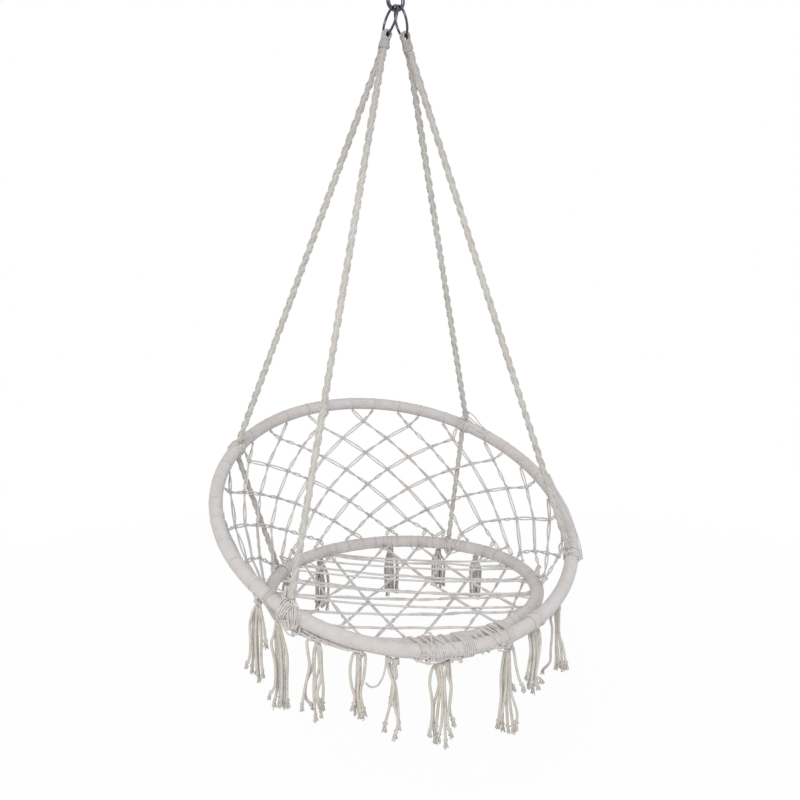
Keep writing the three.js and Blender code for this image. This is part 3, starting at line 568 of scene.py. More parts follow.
def plaited(line, plait):
    """A three-strand plait along a line, each strand of three twisted cords, round a plain core."""
    swing, rise = PLAIT_SWING * plait.width, PLAIT_RISE * plait.width
    bundle = plait.bundle / math.sqrt(3)
    cords = [[] for _ in range(9)]
    run, lean = 0.0, chance.uniform(0, math.tau)
    for i, (place, way) in enumerate(zip(line, ways_along(line))):
        run += (place - line[i - 1]).length if i else 0
        turn = PLAIT_WANDER * math.sin(lean + run * SLOW_WAVE) + PLAIT_WANDER * math.sin(run * QUICK_WAVE)
        across = Matrix.Rotation(turn, 3, way) @ square_to(way, gaze_right)
        over = way.cross(across)
        for strand in range(3):
            phase = math.tau * (run / plait.period + strand / 3)
            middle = place + across * swing * math.sin(phase) + over * rise * math.sin(2 * phase)
            for lay in range(3):
                roll = math.tau * (run / (PLAIT_TWIST * plait.period) + lay / 3) + strand
                aside = middle + across * bundle * math.cos(roll)
                cords[3 * strand + lay].append(aside + over * bundle * math.sin(roll))
    return [Cord(c, plait.cord) for c in cords] + [Cord(line, plait.width / 2)]


def add_rope(side, row):
    line = rope_line(side, row)
    name = f"rope_{row}_{side}"
    piece = corded("plaited_" + name, plaited(line, ROPE_PLAIT), ROPE_LOOK)
    riding(piece, "chair", name)
    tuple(line[0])
    length_of(line)


# The one loose cord, from under the large hoop into a tassel, in millimetres across and up
LOOSE_CORD, LOOSE_STEP = 3.6 * MM, 2.5 * MM
LOOSE_CORD_DEGREES = -25.6
LOOSE_ROUTE = [(0, 0), (1, -12), (3, -25), (6, -38), (11, -49), (17, -57), (25, -60), (32, -58), (38, -52)]


def under_hoop(hoop, degrees, radius):
    """The highest place under a hoop for something flat-topped of a given radius."""
    slope = math.asin(abs(hoop.tangent(degrees).z))
    return hoop.at(degrees) - Z * (COVER_RADIUS / math.cos(slope) + radius * math.tan(slope) + SEAT_GAP)


def add_loose_cord():
    start = under_hoop(large_hoop, LOOSE_CORD_DEGREES, LOOSE_CORD)
    level = square_to(Z, -large_hoop.tangent(LOOSE_CORD_DEGREES))
    points = [start + level * across * MM + Z * rise * MM for across, rise in LOOSE_ROUTE]
    line = eased(points, LOOSE_STEP)
    piece = corded("loose_tie_cord", [Cord(line, LOOSE_CORD)], TASSEL_LOOK, 12)
    riding(piece, "chair", "loose_cord")
    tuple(line[0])
    length_of(line)


for side in SIGN:
    for row in ROPE_FOOT:
        add_rope(side, row)
add_loose_cord()


# Hoop covers: cotton cord wound side by side over each steel tube, each turn a little thicker or thinner
COVER_RIDGE = (1.0, 0.98, 0.95, 0.98)
COVER_UNEVEN, COVER_SWELL = 0.006, 0.2 * MM


def add_cover(name, hoop):
    turns = round(math.tau * hoop.radius / COVER_CORD)
    steps = len(COVER_RIDGE) * turns
    line = [hoop.at(360 * i / steps) for i in range(steps)]
    loose = [chance.gauss(0, COVER_UNEVEN) for _ in range(turns + 1)]
    full = 2 * (COVER_RADIUS + COVER_SWELL)
    thickness = [full * (COVER_RIDGE[i % 4] + loose[i // 4 % turns]) for i in range(steps)]
    return corded("wound_" + name, [Cord(line, thickness, True)], COVER_LOOK, 20)


riding(add_cover("large_hoop_cover", large_hoop), "chair", "large_hoop_cover")
riding(add_cover("seat_hoop_cover", seat_hoop), "seat", "seat_hoop_cover")
for node in ("large_hoop_tube", "seat_hoop_tube"):
    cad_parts[node].data.materials.clear()
    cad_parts[node].data.materials.append(TUBE_LOOK.finish)


# Steel hardware
SHARP_ANGLE = math.radians(35)
ROUNDED_EDGE, ROUNDED_RIVET = 0.35 * MM, 0.2 * MM
BOW_STEPS, RING_STEPS, SPRING_STEPS = 24, 96, 96
GATE_PLAY = 0.8 * MM
RIVET_HEAD, RIVET_HEAD_RISE = 2.6 * MM, 0.35
BORE_RADIUS, BORE_DEPTH = 1.8 * MM, 7.3 * MM
SPRING_RADIUS, SPRING_LENGTH, SPRING_WIRE, SPRING_TURNS = 1.1 * MM, 6.4 * MM, 0.5 * MM, 7


def steel_piece(name, shape):
    mesh = finished(name, shape)
    for face in mesh.polygons:
        face.use_smooth = True
    return shown(name, mesh, STEEL_LOOK)


def box_shape(centre, width, depth, height):
    shape = bmesh.new()
    bmesh.ops.create_cube(shape, size=1)
    bmesh.ops.scale(shape, vec=(width, depth, height), verts=shape.verts)
    bmesh.ops.translate(shape, vec=centre, verts=shape.verts)
    return shape


def rod_shape(radius, start, end, sides=32):
    """A round rod between two points."""
    shape = bmesh.new()
    way = end - start
    rod = {"segments": sides, "radius1": radius, "radius2": radius, "depth": way.length}
    bmesh.ops.create_cone(shape, cap_ends=True, **rod)
    turn = Z.rotation_difference(way.normalized()).to_matrix()
    bmesh.ops.rotate(shape, matrix=turn, verts=shape.verts)
    bmesh.ops.translate(shape, vec=(start + end) / 2, verts=shape.verts)
    return shape


def baked(piece):
    """The piece with its modifiers worked into its mesh."""
    graph = bpy.context.evaluated_depsgraph_get()
    mesh = bpy.data.meshes.new_from_object(piece.evaluated_get(graph))
    piece.modifiers.clear()
    piece.data = mesh
    return piece


def cut_away(piece, shapes):
    """Cuts blocks and bores out of a piece."""
    cutters = []
    for shape in shapes:
        cutter = steel_piece("cutter", shape)
        cut = piece.modifiers.new("cut", "BOOLEAN")
        cut.object, cut.operation, cut.solver = cutter, "DIFFERENCE", "EXACT"
        cutters.append(cutter)
    baked(piece)
    for cutter in cutters:
        bpy.data.objects.remove(cutter)
    return piece


def softened(piece, width):
    """Rounds the sharp edges a little."""
    bevel = piece.modifiers.new("edges", "BEVEL")
    bevel.width, bevel.segments, bevel.limit_method, bevel.angle_limit = width, 2, "ANGLE", SHARP_ANGLE
    baked(piece)
    piece.data.set_sharp_from_angle(angle=SHARP_ANGLE)
    return piece


LEG_X = BOW_RADIUS
PIVOT = Vector((LEG_X, 0, -PIVOT_DROP))
NOSE_Z = PIVOT.z + GATE_REACH
TONGUE_REACH = GATE_OVERLAP / 2
TURN_CLEARANCE = math.hypot(HOOK_WIRE / 2, TONGUE_REACH) + SLIDE


def bow(centre_z, start, end):
    turns = [math.radians(start + (end - start) * t) for t in shares(BOW_STEPS)]
    return [Vector((BOW_RADIUS * math.cos(t), 0, centre_z + BOW_RADIUS * math.sin(t))) for t in turns]


def cheeks(low, high):
    """The two blocks that leave a middle tongue on the hook's right leg."""
    side = TONGUE / 2 + HOOK_WIRE / 2
    size = (2 * HOOK_WIRE, HOOK_WIRE, high - low)
    return [box_shape((LEG_X, s * side, (low + high) / 2), *size) for s in (-1, 1)]


def slot_block(low, high):
    return box_shape((LEG_X, 0, (low + high) / 2), 2 * HOOK_WIRE, TONGUE + 2 * SLIDE, high - low)


def cross_rod(length, diameter):
    return rod_shape(diameter / 2, PIVOT - Y * length / 2, PIVOT + Y * length / 2)


def leg_rod(radius, low, high, sides=32):
    """An upright rod on the hook's right leg."""
    return rod_shape(radius, Vector((LEG_X, 0, low)), Vector((LEG_X, 0, high)), sides)


def wire_piece(name, line, diameter, sides=24, closed=False):
    return corded(name, [Cord(line, diameter, closed)], STEEL_LOOK, sides)


def add_hook():
    line = [Vector((LEG_X, 0, PIVOT.z + TONGUE_REACH))]
    line += bow(LOW_BOW, 0, -180) + bow(-BOW_INNER, 180, 0)
    line += [Vector((LEG_X, 0, NOSE_Z - GATE_OVERLAP))]
    body = wire_piece("snap_hook", line, HOOK_WIRE)
    foot = cheeks(PIVOT.z - TURN_CLEARANCE, PIVOT.z + 2 * TONGUE_REACH)
    nose = cheeks(NOSE_Z - 2 * GATE_OVERLAP, NOSE_Z)
    cut_away(body, [*foot, *nose, cross_rod(2 * HOOK_WIRE, RIVET + 2 * SLIDE)])
    riding(softened(body, ROUNDED_EDGE), "hook", "hook_body")


def add_gate():
    foot, head = PIVOT.z - TONGUE_REACH, NOSE_Z - GATE_PLAY
    bore_foot = PIVOT.z + TURN_CLEARANCE
    gate = steel_piece("snap_gate", leg_rod(HOOK_WIRE / 2, foot, head))
    slots = [slot_block(foot - MM, bore_foot), slot_block(NOSE_Z - GATE_OVERLAP - SLIDE, head + MM)]
    bore = leg_rod(BORE_RADIUS, bore_foot - MM, bore_foot + BORE_DEPTH, 16)
    cut_away(gate, [*slots, bore, cross_rod(2 * HOOK_WIRE, RIVET + 2 * SEAT_GAP)])
    riding(softened(gate, ROUNDED_EDGE), "gate", "gate")


def add_rivet():
    """A rivet with a low domed head on each side."""
    rivet = steel_piece("gate_pin", cross_rod(HOOK_WIRE, RIVET))
    dome = bmesh.new()
    bmesh.ops.create_uvsphere(dome, u_segments=24, v_segments=12, radius=RIVET_HEAD)
    bmesh.ops.scale(dome, vec=(1, RIVET_HEAD_RISE, 1), verts=dome.verts)
    for side, name in ((-1, "front"), (1, "back")):
        head = dome.copy()
        bmesh.ops.translate(head, vec=PIVOT + Y * side * HOOK_WIRE / 2, verts=head.verts)
        riding(steel_piece("gate_pin_head_" + name, head), "hook")
    dome.free()
    riding(softened(rivet, ROUNDED_RIVET), "hook", "gate_rivet")


def add_gate_spring():
    foot = Vector((LEG_X, 0, PIVOT.z + TURN_CLEARANCE + SEAT_GAP))
    line = []
    for t in shares(SPRING_STEPS):
        around = level_way(math.tau * SPRING_TURNS * t) * SPRING_RADIUS
        line.append(foot + around + Z * SPRING_LENGTH * t)
    riding(wire_piece("gate_coil", line, SPRING_WIRE, 8), "gate", "gate_spring")


def on_ring(line, distance, turn):
    return line.centre + line.down * distance * math.cos(turn) + line.level * distance * math.sin(turn)


def add_ring(side):
    circle = [on_ring(lines[side], RING_RADIUS, turn) for turn in rounds(RING_STEPS)]
    riding(wire_piece("steel_ring_" + side, circle, RING_WIRE, 16, True), "rings", "ring_" + side)


add_hook()
add_gate()
add_rivet()
add_gate_spring()


# Knots and windings. Each kind of knot has its size and its cord's thickness
TIE_KNOT, GATHER_KNOT = (13 * MM, 3.4 * MM), (13 * MM, 3.6 * MM)
HEAD_KNOT, LOW_KNOT = (12 * MM, 3.6 * MM), (11 * MM, 3.4 * MM)
BACK_KNOT, SEAT_KNOT = (13 * MM, 3 * MM), (9 * MM, 2.9 * MM)
BINDING_KNOTS = (9 * MM, 3 * MM), (8 * MM, 3 * MM)
KNOT_STEPS, KNOT_SPAN, KNOT_RISE = 16, 6, 1.2
WRAP_CORD, WRAP_PITCH = 3.2 * MM, 3.4 * MM


def knot(centre, size, cord):
    """A small overhand knot pulled tight: its cord crosses itself three times."""
    turn = Matrix.Rotation(chance.uniform(0, math.tau), 3, "Z")
    turn = turn @ Matrix.Rotation(chance.uniform(0, 3), 3, "X")
    line = []
    for t in rounds(KNOT_STEPS):
        x, y = math.sin(t) + 2 * math.sin(2 * t), math.cos(t) - 2 * math.cos(2 * t)
        spot = Vector((x, y, -KNOT_RISE * math.sin(3 * t)))
        line.append(centre + turn @ spot * (size - cord) / KNOT_SPAN)
    return Cord(line, cord, True)


def winding(hoop, degrees, turns, pitch, reach, first=0.0, steps=14):
    """A cord wound round a hoop, from a first turn angle on."""
    line = []
    for i in range(round(turns * steps) + 1):
        shift = (i / steps - turns / 2) * pitch
        line.append(hoop.skin(degrees + hoop.degrees_of(shift), first + math.tau * i / steps, reach))
    return line


def oval_winding(line, start, turns, pitch, width, depth, steps=16):
    """A cord wound round the neck of a side's ropes."""
    route = []
    for i in range(turns * steps + 1):
        t = math.tau * i / steps
        middle = line.neck + line.down * (start + pitch * i / steps)
        route.append(middle + line.flat * width / 2 * math.cos(t) + line.level * depth / 2 * math.sin(t))
    return route


# An eye's cords, how they clear the ring, how many each layer has, and how many degrees of the ring part them
EYE_STRAND, EYE_CLEARANCE, EYE_LAYER, EYE_STEP = 3.1 * MM, 1.2 * MM, 0.85, 3 * MM
EYE_CORDS, EYE_APART, EYE_UNEVEN = (6, 5), 5.6, 0.8
# Up the neck: how far below its top, the share of a cord's spread that is left, and half the loop's width
EYE_NECK = [(NECK_LENGTH + 4 * MM, 0.9, 3 * MM), (NECK_LENGTH * 0.6, 0.95, 3.5 * MM), (0, 0.9, 4.2 * MM)]
EYE_LAYER_WIDTH = 1.6 * MM
# The binding round the neck and the sleeve above it: start below the neck, turns, pitch, width and depth
BINDING = (4 * MM, 4, 2.9 * MM, NECK_WIDTH + 1.5 * MM, NECK_DEPTH - 4 * MM)
SLEEVE = (-5 * MM, 3, 3 * MM, 15.5 * MM, 19 * MM)
BINDING_KNOT_DROP = {"left": 9 * MM, "right": 12 * MM}
SECOND_KNOT_DROP, SECOND_KNOT_ASIDE = 3 * MM, 6 * MM


def eye_cord(line, turn, layer):
    """One cord of an eye: up from the neck, over the ring wire inside the ring, and down again."""
    arch = RING_WIRE / 2 + EYE_CLEARANCE + EYE_STRAND * (0.5 + EYE_LAYER * layer)
    radial = (on_ring(line, 1, turn) - line.centre).normalized()
    centre = on_ring(line, RING_RADIUS, turn)
    bends = [math.pi * t for t in shares(6)]
    over = [centre + line.flat * arch * math.cos(t) - radial * arch * math.sin(t) for t in bends]
    spread = line.level * RING_RADIUS * math.sin(turn)
    legs = []
    for side in (1, -1):
        flat = line.flat * side
        leg = [line.neck + line.down * drop + spread * share + flat * half for drop, share, half in EYE_NECK]
        leg[-1] += flat * EYE_LAYER_WIDTH * layer
        legs.append(leg)
    return eased(legs[0] + over + legs[1][::-1], EYE_STEP)


def add_eye(side):
    cords = []
    for layer, count in enumerate(EYE_CORDS):
        for i in range(count):
            turn = (i - (count - 1) / 2) * EYE_APART + chance.uniform(-EYE_UNEVEN, EYE_UNEVEN)
            cords.append(Cord(eye_cord(lines[side], math.radians(turn), layer), EYE_STRAND))
    riding(corded("cord_eye_" + side, cords, ROPE_LOOK), "chair", "rope_eye_" + side)


def add_binding(side):
    line = lines[side]
    cords = [Cord(oval_winding(line, *band), WRAP_CORD) for band in (BINDING, SLEEVE)]
    width = BINDING[3]
    edge = line.neck + line.down * BINDING_KNOT_DROP[side] + line.flat * SIGN[side] * width / 2
    below = edge + line.down * SECOND_KNOT_DROP - line.level * SECOND_KNOT_ASIDE
    cords += [knot(place, *size) for place, size in zip((edge, below), BINDING_KNOTS)]
    piece = corded("wound_binding_" + side, cords, ROPE_LOOK)
    riding(piece, "chair", "rope_binding_" + side)


for side in SIGN:
    add_ring(side)
    add_eye(side)
    add_binding(side)

# Lashings: windings round a hoop, and the rope's own cords fanned over it and knotted beneath
LASHING_CORD, FAN_CORD = 4.4 * MM, 3.0 * MM
WRAP_REACH = COVER_RADIUS + WRAP_CORD * 0.4
FAN_REACH, FAN_LAYER = COVER_RADIUS + FAN_CORD * 0.6, 0.8 * MM
# A fan's width at the rope and at its knot, how much it narrows, and the part of the way round the hoop that
# it follows
FAN_TOP, FAN_FOOT, FAN_NARROWS, FAN_START, FAN_WAY = 6 * MM, 5 * MM, 0.5, 0.05, 0.8
FAN_LOW_KNOT_DROP = 3 * MM
# Each lashing: its turns, its fan's cords and width, and how far under the hoop these gather
Lashing = namedtuple("Lashing", "turns count width drop")
ROPE_LASHING = {"front": Lashing(4, 9, 26 * MM, 8 * MM), "back": Lashing(8, 9, 26 * MM, 8 * MM)}
STAY_LASHING = Lashing(2, 6, 14 * MM, 6 * MM)
STAY_CLEARANCE = 1.6 * MM


def fan(hoop, degrees, source, lashing):
    """Cords that part over a hoop on both sides and meet in a knot beneath it."""
    tangent, middle = hoop.tangent(degrees), hoop.at(degrees)
    under = square_to(tangent, -Z)
    top = hoop.turn_of(degrees, square_to(tangent, source - middle))
    low = hoop.turn_of(degrees, under)
    gather = middle + under * (COVER_RADIUS + lashing.drop)
    cords = []
    for i in range(lashing.count):
        share = (i - (lashing.count - 1) / 2) / lashing.count
        way = 1 if i % 2 else -1
        span = (low - top) * way % math.tau * way
        points = [source + tangent * share * FAN_TOP]
        for t in shares(4):
            shift = hoop.degrees_of(share * lashing.width * (1 - FAN_NARROWS * t))
            turn = top + span * (FAN_START + FAN_WAY * t)
            points.append(hoop.skin(degrees + shift, turn, FAN_REACH + FAN_LAYER * (i % 3)))
        points.append(gather + tangent * share * FAN_FOOT)
        cords.append(Cord(eased(points, CORD_STEP), FAN_CORD))
    return cords + [knot(gather, *GATHER_KNOT), knot(gather - Z * FAN_LOW_KNOT_DROP, *LOW_KNOT)]


def add_lashing(node, body, hoop, degrees, source, lashing):
    cords = [Cord(winding(hoop, degrees, lashing.turns, WRAP_PITCH, WRAP_REACH), WRAP_CORD)]
    cords += fan(hoop, degrees, source, lashing)
    riding(corded("knotted_" + node, cords, WRAP_LOOK), body, node)


def stay_feet(side):
    """The degrees of a stay's feet on the large hoop and on the seat hoop."""
    return SIGN[side] * ROPE_FOOT["back"], SIGN[side] * STAY_FOOT


def stay_ends(side):
    upper, lower = stay_feet(side)
    high, low = large_hoop.at(upper), seat_hoop.at(lower)
    out = (low - high).normalized().cross(large_hoop.tangent(upper)).normalized()
    out = out if out.dot(high - large_hoop.centre) > 0 else -out
    offset = out * (STAY_DIAMETER / 2 + STAY_CLEARANCE + STAY_STAND_OFF)
    return lashed_end(large_hoop, upper, low, 0) + offset, lashed_end(seat_hoop, lower, high, 0) + offset


def add_stay(side):
    upper, lower = stay_feet(side)
    cords = plaited(evenly(stay_ends(side), ROPE_STEP), STAY_PLAIT)
    piece = corded("plaited_stay_" + side, cords, ROPE_LOOK)
    large_hoop.at(upper)
    seat_hoop.at(lower)
    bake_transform(piece)
    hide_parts("stay_" + side)


for side in SIGN:
    for row, degrees in ROPE_FOOT.items():
        node, foot = f"rope_lashing_{row}_{side}", rope_line(side, row)[-1]
        add_lashing(node, "chair", large_hoop, SIGN[side] * degrees, foot, ROPE_LASHING[row])
    node, foot = "stay_lashing_" + side, stay_ends(side)[1]
    add_lashing(node, "seat", seat_hoop, SIGN[side] * STAY_FOOT, foot, STAY_LASHING)
    add_stay(side)


# The two hoops lashed together at the front
BAND_STEP = 5 * MM


def round_both(x, turn, reach):
    """A place on the loop round both hoops: round the large hoop below, round the seat hoop above."""
    low, high = large_hoop.front_at(x), seat_hoop.front_at(x)
    axis = square_to(X, high - low)
    centre = low if math.sin(turn) < 0 else high
    return centre + axis.cross(X) * reach * math.cos(turn) + axis * reach * math.sin(turn)


def double_winding(x, turns, pitch, steps=16):
    line = []
    for i in range(round(turns * steps) + 1):
        place = x + (i / steps - turns / 2) * pitch
        line.append(round_both(place, math.tau * i / steps - math.pi / 2, WRAP_REACH))
    return eased(line, BAND_STEP)


HOOP_LASHING = {"left": -12, "right": 7.5}
# Each band of turns: its place beside the lashing's middle, its turns, and their pitch, in millimetres
LASHING_BANDS = {
    "left": [(-29, 2, 3.2), (-11.5, 2, 3.2), (3, 3, 3.4), (22, 1, 26), (59, 6, 3.9)],
    "right": [(-30, 1, 38), (-22, 1, 24), (0, 3, 3.4), (20, 4, 3.6)],
}


def add_hoop_lashing(side):
    degrees = HOOP_LASHING[side]
    middle = LARGE_RADIUS * math.sin(math.radians(degrees))
    cords = []
    for shift, turns, pitch in LASHING_BANDS[side]:
        cords.append(Cord(double_winding(middle + shift * MM, turns, pitch * MM), WRAP_CORD))
    piece = corded("knotted_hoop_lashing_" + side, cords, WRAP_LOOK)
    large_hoop.at(degrees)
    seat_hoop.front_at(middle)
    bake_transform(piece)
    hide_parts("hoop_lashing_" + side)


for side in SIGN:
    add_hoop_lashing(side)

# Ties and knots round the large hoop, most of them at the front: each cord's route in pixels of the photo
TIE_CORD, TIE_UNEVEN = 3.0 * MM, 0.5
TIE_OUT = COVER_RADIUS + TIE_CORD * 0.4
FRONT_TIES = [
    [(421, 642), (420, 652), (419, 661), (411, 657)],
    [(419, 661), (428, 664), (440, 662), (450, 658), (460.5, 661)],
    [(424, 658), (436, 661), (448, 658), (456, 660)],
    [(426, 631), (436, 638), (448, 646), (453, 654), (460.5, 661)],
    [(430.6, 632), (432, 645), (430, 656), (419, 661)],
    [(476, 629), (486, 638), (496, 646), (507, 648)],
    [(479, 627), (491, 635), (501, 642), (508, 646)],
    [(509, 625), (514, 632), (511, 640), (507.7, 648)],
    [(514, 624), (517, 632), (513, 641), (508, 649)],
    [(496, 646), (499.5, 651), (507, 650)],
    [(470, 631), (480, 640), (492, 647), (507, 648)],
    [(484, 626), (495, 632), (504, 639), (509, 646)],
    [(490, 624), (500, 630), (508, 638), (510, 645)],
    [(440, 637), (446, 645), (450, 654), (456, 660)],
    [(464, 413), (470, 418), (477, 424), (484, 430)],
    [(467, 411), (474, 416), (480, 424), (486, 430)],
    [(462, 416), (468, 423), (475, 429), (483, 433)],
    [(299, 632), (308, 637), (321, 642), (335, 647), (349, 651)],
    [(303, 630), (315, 637), (330, 643), (345, 649), (361, 652)],
    [(281, 622), (288, 634), (298, 634), (300, 627)],
    [(262, 600), (267, 608), (273, 618), (279, 626)],
    [(252, 590), (256, 600), (261, 606)],
]
FRONT_KNOTS = [
    (256, 602), (285, 621), (293, 634), (292, 624), (310, 638), (318, 640), (326, 643),
    (361, 652), (388, 659), (419, 660), (428, 662), (460.5, 660), (452, 660), (507.7, 646),
    (532, 627), (579, 558), (467, 414), (465, 420), (244, 436), (236, 446),
]
# Turns round the large hoop alone: degrees and turns
FRONT_WRAPS = [(20.4, 3), (23, 2), (-60.5, 2)]
# The fans of the front ropes: the middle, half the width and the height of each step, and the cords
LEFT_FAN = 11, [(289, 3, 586), (288.5, 6, 598), (288, 11, 611), (289, 10, 621), (290, 5, 630)]
RIGHT_FAN = 8, [(547, 2, 474), (555, 5, 497), (565, 7, 522), (573, 7, 543), (579, 4, 559)]


def seen_on_hoop(x, y, reach):
    """The place on the large hoop's near side, some way out from its middle line, that is seen at a pixel."""
    nearest = min(range(-1800, 1800, 5), key=lambda d: aside_of(x, y, large_hoop.at(d / 10)).length)
    middle = large_hoop.at(nearest / 10)
    aside = aside_of(x, y, middle)
    depth = math.sqrt(max(0, reach**2 - aside.length_squared))
    return middle + aside + (eye_point - middle).normalized() * depth


def aside_of(x, y, place):
    """How far the sight line through a pixel passes from a place."""
    ray = (at_pixel(x, y, place) - eye_point).normalized()
    gap = place - eye_point
    return ray * gap.dot(ray) - gap


def tie(pixels, lift=0.0):
    return Cord(eased([seen_on_hoop(x, y, TIE_OUT + lift) for x, y in pixels], CORD_STEP), TIE_CORD)


def add_front_ties():
    cords = [tie(pixels) for pixels in FRONT_TIES]
    for count, steps in (LEFT_FAN, RIGHT_FAN):
        for i in range(count):
            share = 2 * i / (count - 1) - 1
            pixels = [(x + half * share + chance.uniform(-TIE_UNEVEN, TIE_UNEVEN), y) for x, half, y in steps]
            cords.append(tie(pixels, FAN_LAYER * (i % 3)))
    for degrees, turns in FRONT_WRAPS:
        cords.append(Cord(winding(large_hoop, degrees, turns, WRAP_PITCH, TIE_OUT), TIE_CORD))
    cords += [knot(seen_on_hoop(x, y, COVER_RADIUS), *TIE_KNOT) for x, y in FRONT_KNOTS]
    riding(corded("front_ties", cords, WRAP_LOOK), "chair")


add_front_ties()

# Nets: pairs of cords from knot to knot, tied to hitches on the hoops
NET_CORD, NET_PART = 3.5 * MM, (0.9, 1.7)
PAIR_STEPS, PAIR_HALF, PAIR_SLACK, PAIR_TURN = 6, 0.45, 1.5, 0.1
HITCH_CORD, HITCH_THICKNESS, HITCH_SUNK = 3.2 * MM, 2.4 * MM, -0.35 * MM
TIE_REACH = COVER_RADIUS + SEAT_GAP + HITCH_CORD / 2
COLUMN_STEP, COLUMNS, FRONT_HITCH = 9, 14, 60
ROW_PITCH, FIRST_ROW = 39.4 * MM, 5.6 * MM
END_REACH, LAST_GAP = 30 * MM, 49 * MM
LEG_SHARE, LEG_CLEARANCE, LASHING_PITCH = 0.46, 7 * MM, 5.2 * MM


def net_pair(a, b, normal, cord=NET_CORD, part=NET_PART):
    """Two cords from knot to knot that part a little between them, some crossed."""
    aside = (b - a).normalized().cross(normal).normalized()
    crossed = chance.choice((0, 0, 1, 1, 2)) * math.pi
    bow_out = chance.uniform(*part) * MM
    slack = normal * chance.uniform(-PAIR_SLACK, PAIR_SLACK) * MM
    cords = []
    for sign in (-1, 1):
        line = []
        for t in shares(PAIR_STEPS):
            turn = crossed * t + chance.uniform(-PAIR_TURN, PAIR_TURN)
            swell = sign * (cord * PAIR_HALF + bow_out * math.sin(math.pi * t))
            offset = aside * swell * math.cos(turn) + normal * swell * math.sin(turn)
            line.append(a.lerp(b, t) + offset + slack * math.sin(math.pi * t))
        cords.append(Cord(line, cord))
    return cords


def hitch(hoop, degrees):
    """The turns of cord that tie a net to a hoop."""
    reach, first = COVER_RADIUS + HITCH_SUNK, chance.uniform(0, 6)
    return Cord(winding(hoop, degrees, 2, HITCH_THICKNESS, reach, first, 12), HITCH_THICKNESS)


def tie_point(hoop, degrees, towards):
    way = square_to(hoop.tangent(degrees), towards - hoop.at(degrees))
    return hoop.at(degrees) + way * TIE_REACH


def column_degrees(column):
    """Columns are counted from the back centre, and the outermost on each side are closer together."""
    even = min(abs(column), COLUMNS - 1)
    last_step = 180 - FRONT_HITCH - (COLUMNS - 1) * COLUMN_STEP
    return 180 + math.copysign(even * COLUMN_STEP + (abs(column) - even) * last_step, column)


BackKnot = namedtuple("BackKnot", "place normal first last")


def back_knot(column, row):
    degrees = column_degrees(column)
    high, low = large_hoop.at(degrees), seat_hoop.at(degrees)
    gap, down = (low - high).length, (low - high).normalized()
    distance = FIRST_ROW + row * ROW_PITCH
    last = gap - distance < LAST_GAP
    place = high + down * (gap - END_REACH if last else distance)
    return BackKnot(place, down.cross(large_hoop.tangent(degrees)).normalized(), row == 1, last)


def leg_degrees(column, side, hoop, taken):
    """Where a leg meets a hoop: it stops short of what is wound there, given as places and widths."""
    start = column_degrees(column)
    degrees = column_degrees(column + side * LEG_SHARE)
    for place, width in taken:
        clear = hoop.degrees_of(width + LEG_CLEARANCE)
        for bound in (place, 360 - place):
            if side * (bound - start) > 0 and side * (bound - degrees) < clear:
                degrees = bound - side * clear
    return degrees


def lashing_width(turns):
    return (turns * LASHING_PITCH + LASHING_CORD) / 2


def back_net():
    """The back net's knots by column and row, and its strands as pairs of those."""
    knots, strands = {}, []
    open_knots = [(column, 1) for column in range(1 - COLUMNS, COLUMNS, 2)]
    for column, row in open_knots:
        knots[column, row] = back_knot(column, row)
        if knots[column, row].last:
            continue
        for side in (-1, 1):
            goal = (column + side, row + 1)
            if abs(goal[0]) <= COLUMNS:
                strands.append(((column, row), goal))
                if goal not in open_knots:
                    open_knots.append(goal)
    return knots, strands


def back_net_legs(knots):
    """The short legs that tie the knots next to a hoop: two each, or one at an edge."""
    on_large = [(ROPE_FOOT["back"], lashing_width(3))]
    on_seat = [(STAY_FOOT, lashing_width(2))] + [(angle, HITCH_CORD / 2) for angle in STATION_ANGLES]
    legs = []
    for (column, _), spot in knots.items():
        sides = (-1, 1) if abs(column) < COLUMNS else (math.copysign(1, column),)
        for tied, hoop, taken in ((spot.first, large_hoop, on_large), (spot.last, seat_hoop, on_seat)):
            if tied:
                legs += [(column, spot, side, hoop, leg_degrees(column, side, hoop, taken)) for side in sides]
    return legs


def add_back_net():
    """The back net in upright strips between its columns, each a piece of its own."""
    knots, strands = back_net()
    strips = {column: [] for column in range(-COLUMNS, COLUMNS)}
    hitches = {"chair": [], "seat": []}
    for start, goal in strands:
        a, b = knots[start], knots[goal]
        strips[min(start[0], goal[0])] += net_pair(a.place, b.place, (a.normal + b.normal).normalized())
    for column, spot, side, hoop, degrees in back_net_legs(knots):
        strip = strips[max(-COLUMNS, min(column if side > 0 else column - 1, COLUMNS - 1))]
        strip += net_pair(spot.place, tie_point(hoop, degrees, spot.place), spot.normal)
        hitches["seat" if hoop is seat_hoop else "chair"].append(hitch(hoop, degrees))
    for (column, _), spot in knots.items():
        strips[min(column, COLUMNS - 1)].append(knot(spot.place, *BACK_KNOT))
    for column, cords in strips.items():
        middle = column_degrees(column + 0.5)
        piece = corded(f"back_net_strip_{column + COLUMNS + 1:02d}", cords, NET_LOOK, 6)
        large_hoop.at(middle)
        seat_hoop.at(middle)
        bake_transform(piece)
        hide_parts("back_net")
    for body, cords in hitches.items():
        riding(corded("back_net_hitches_" + body, cords, HITCH_LOOK, 6), body)


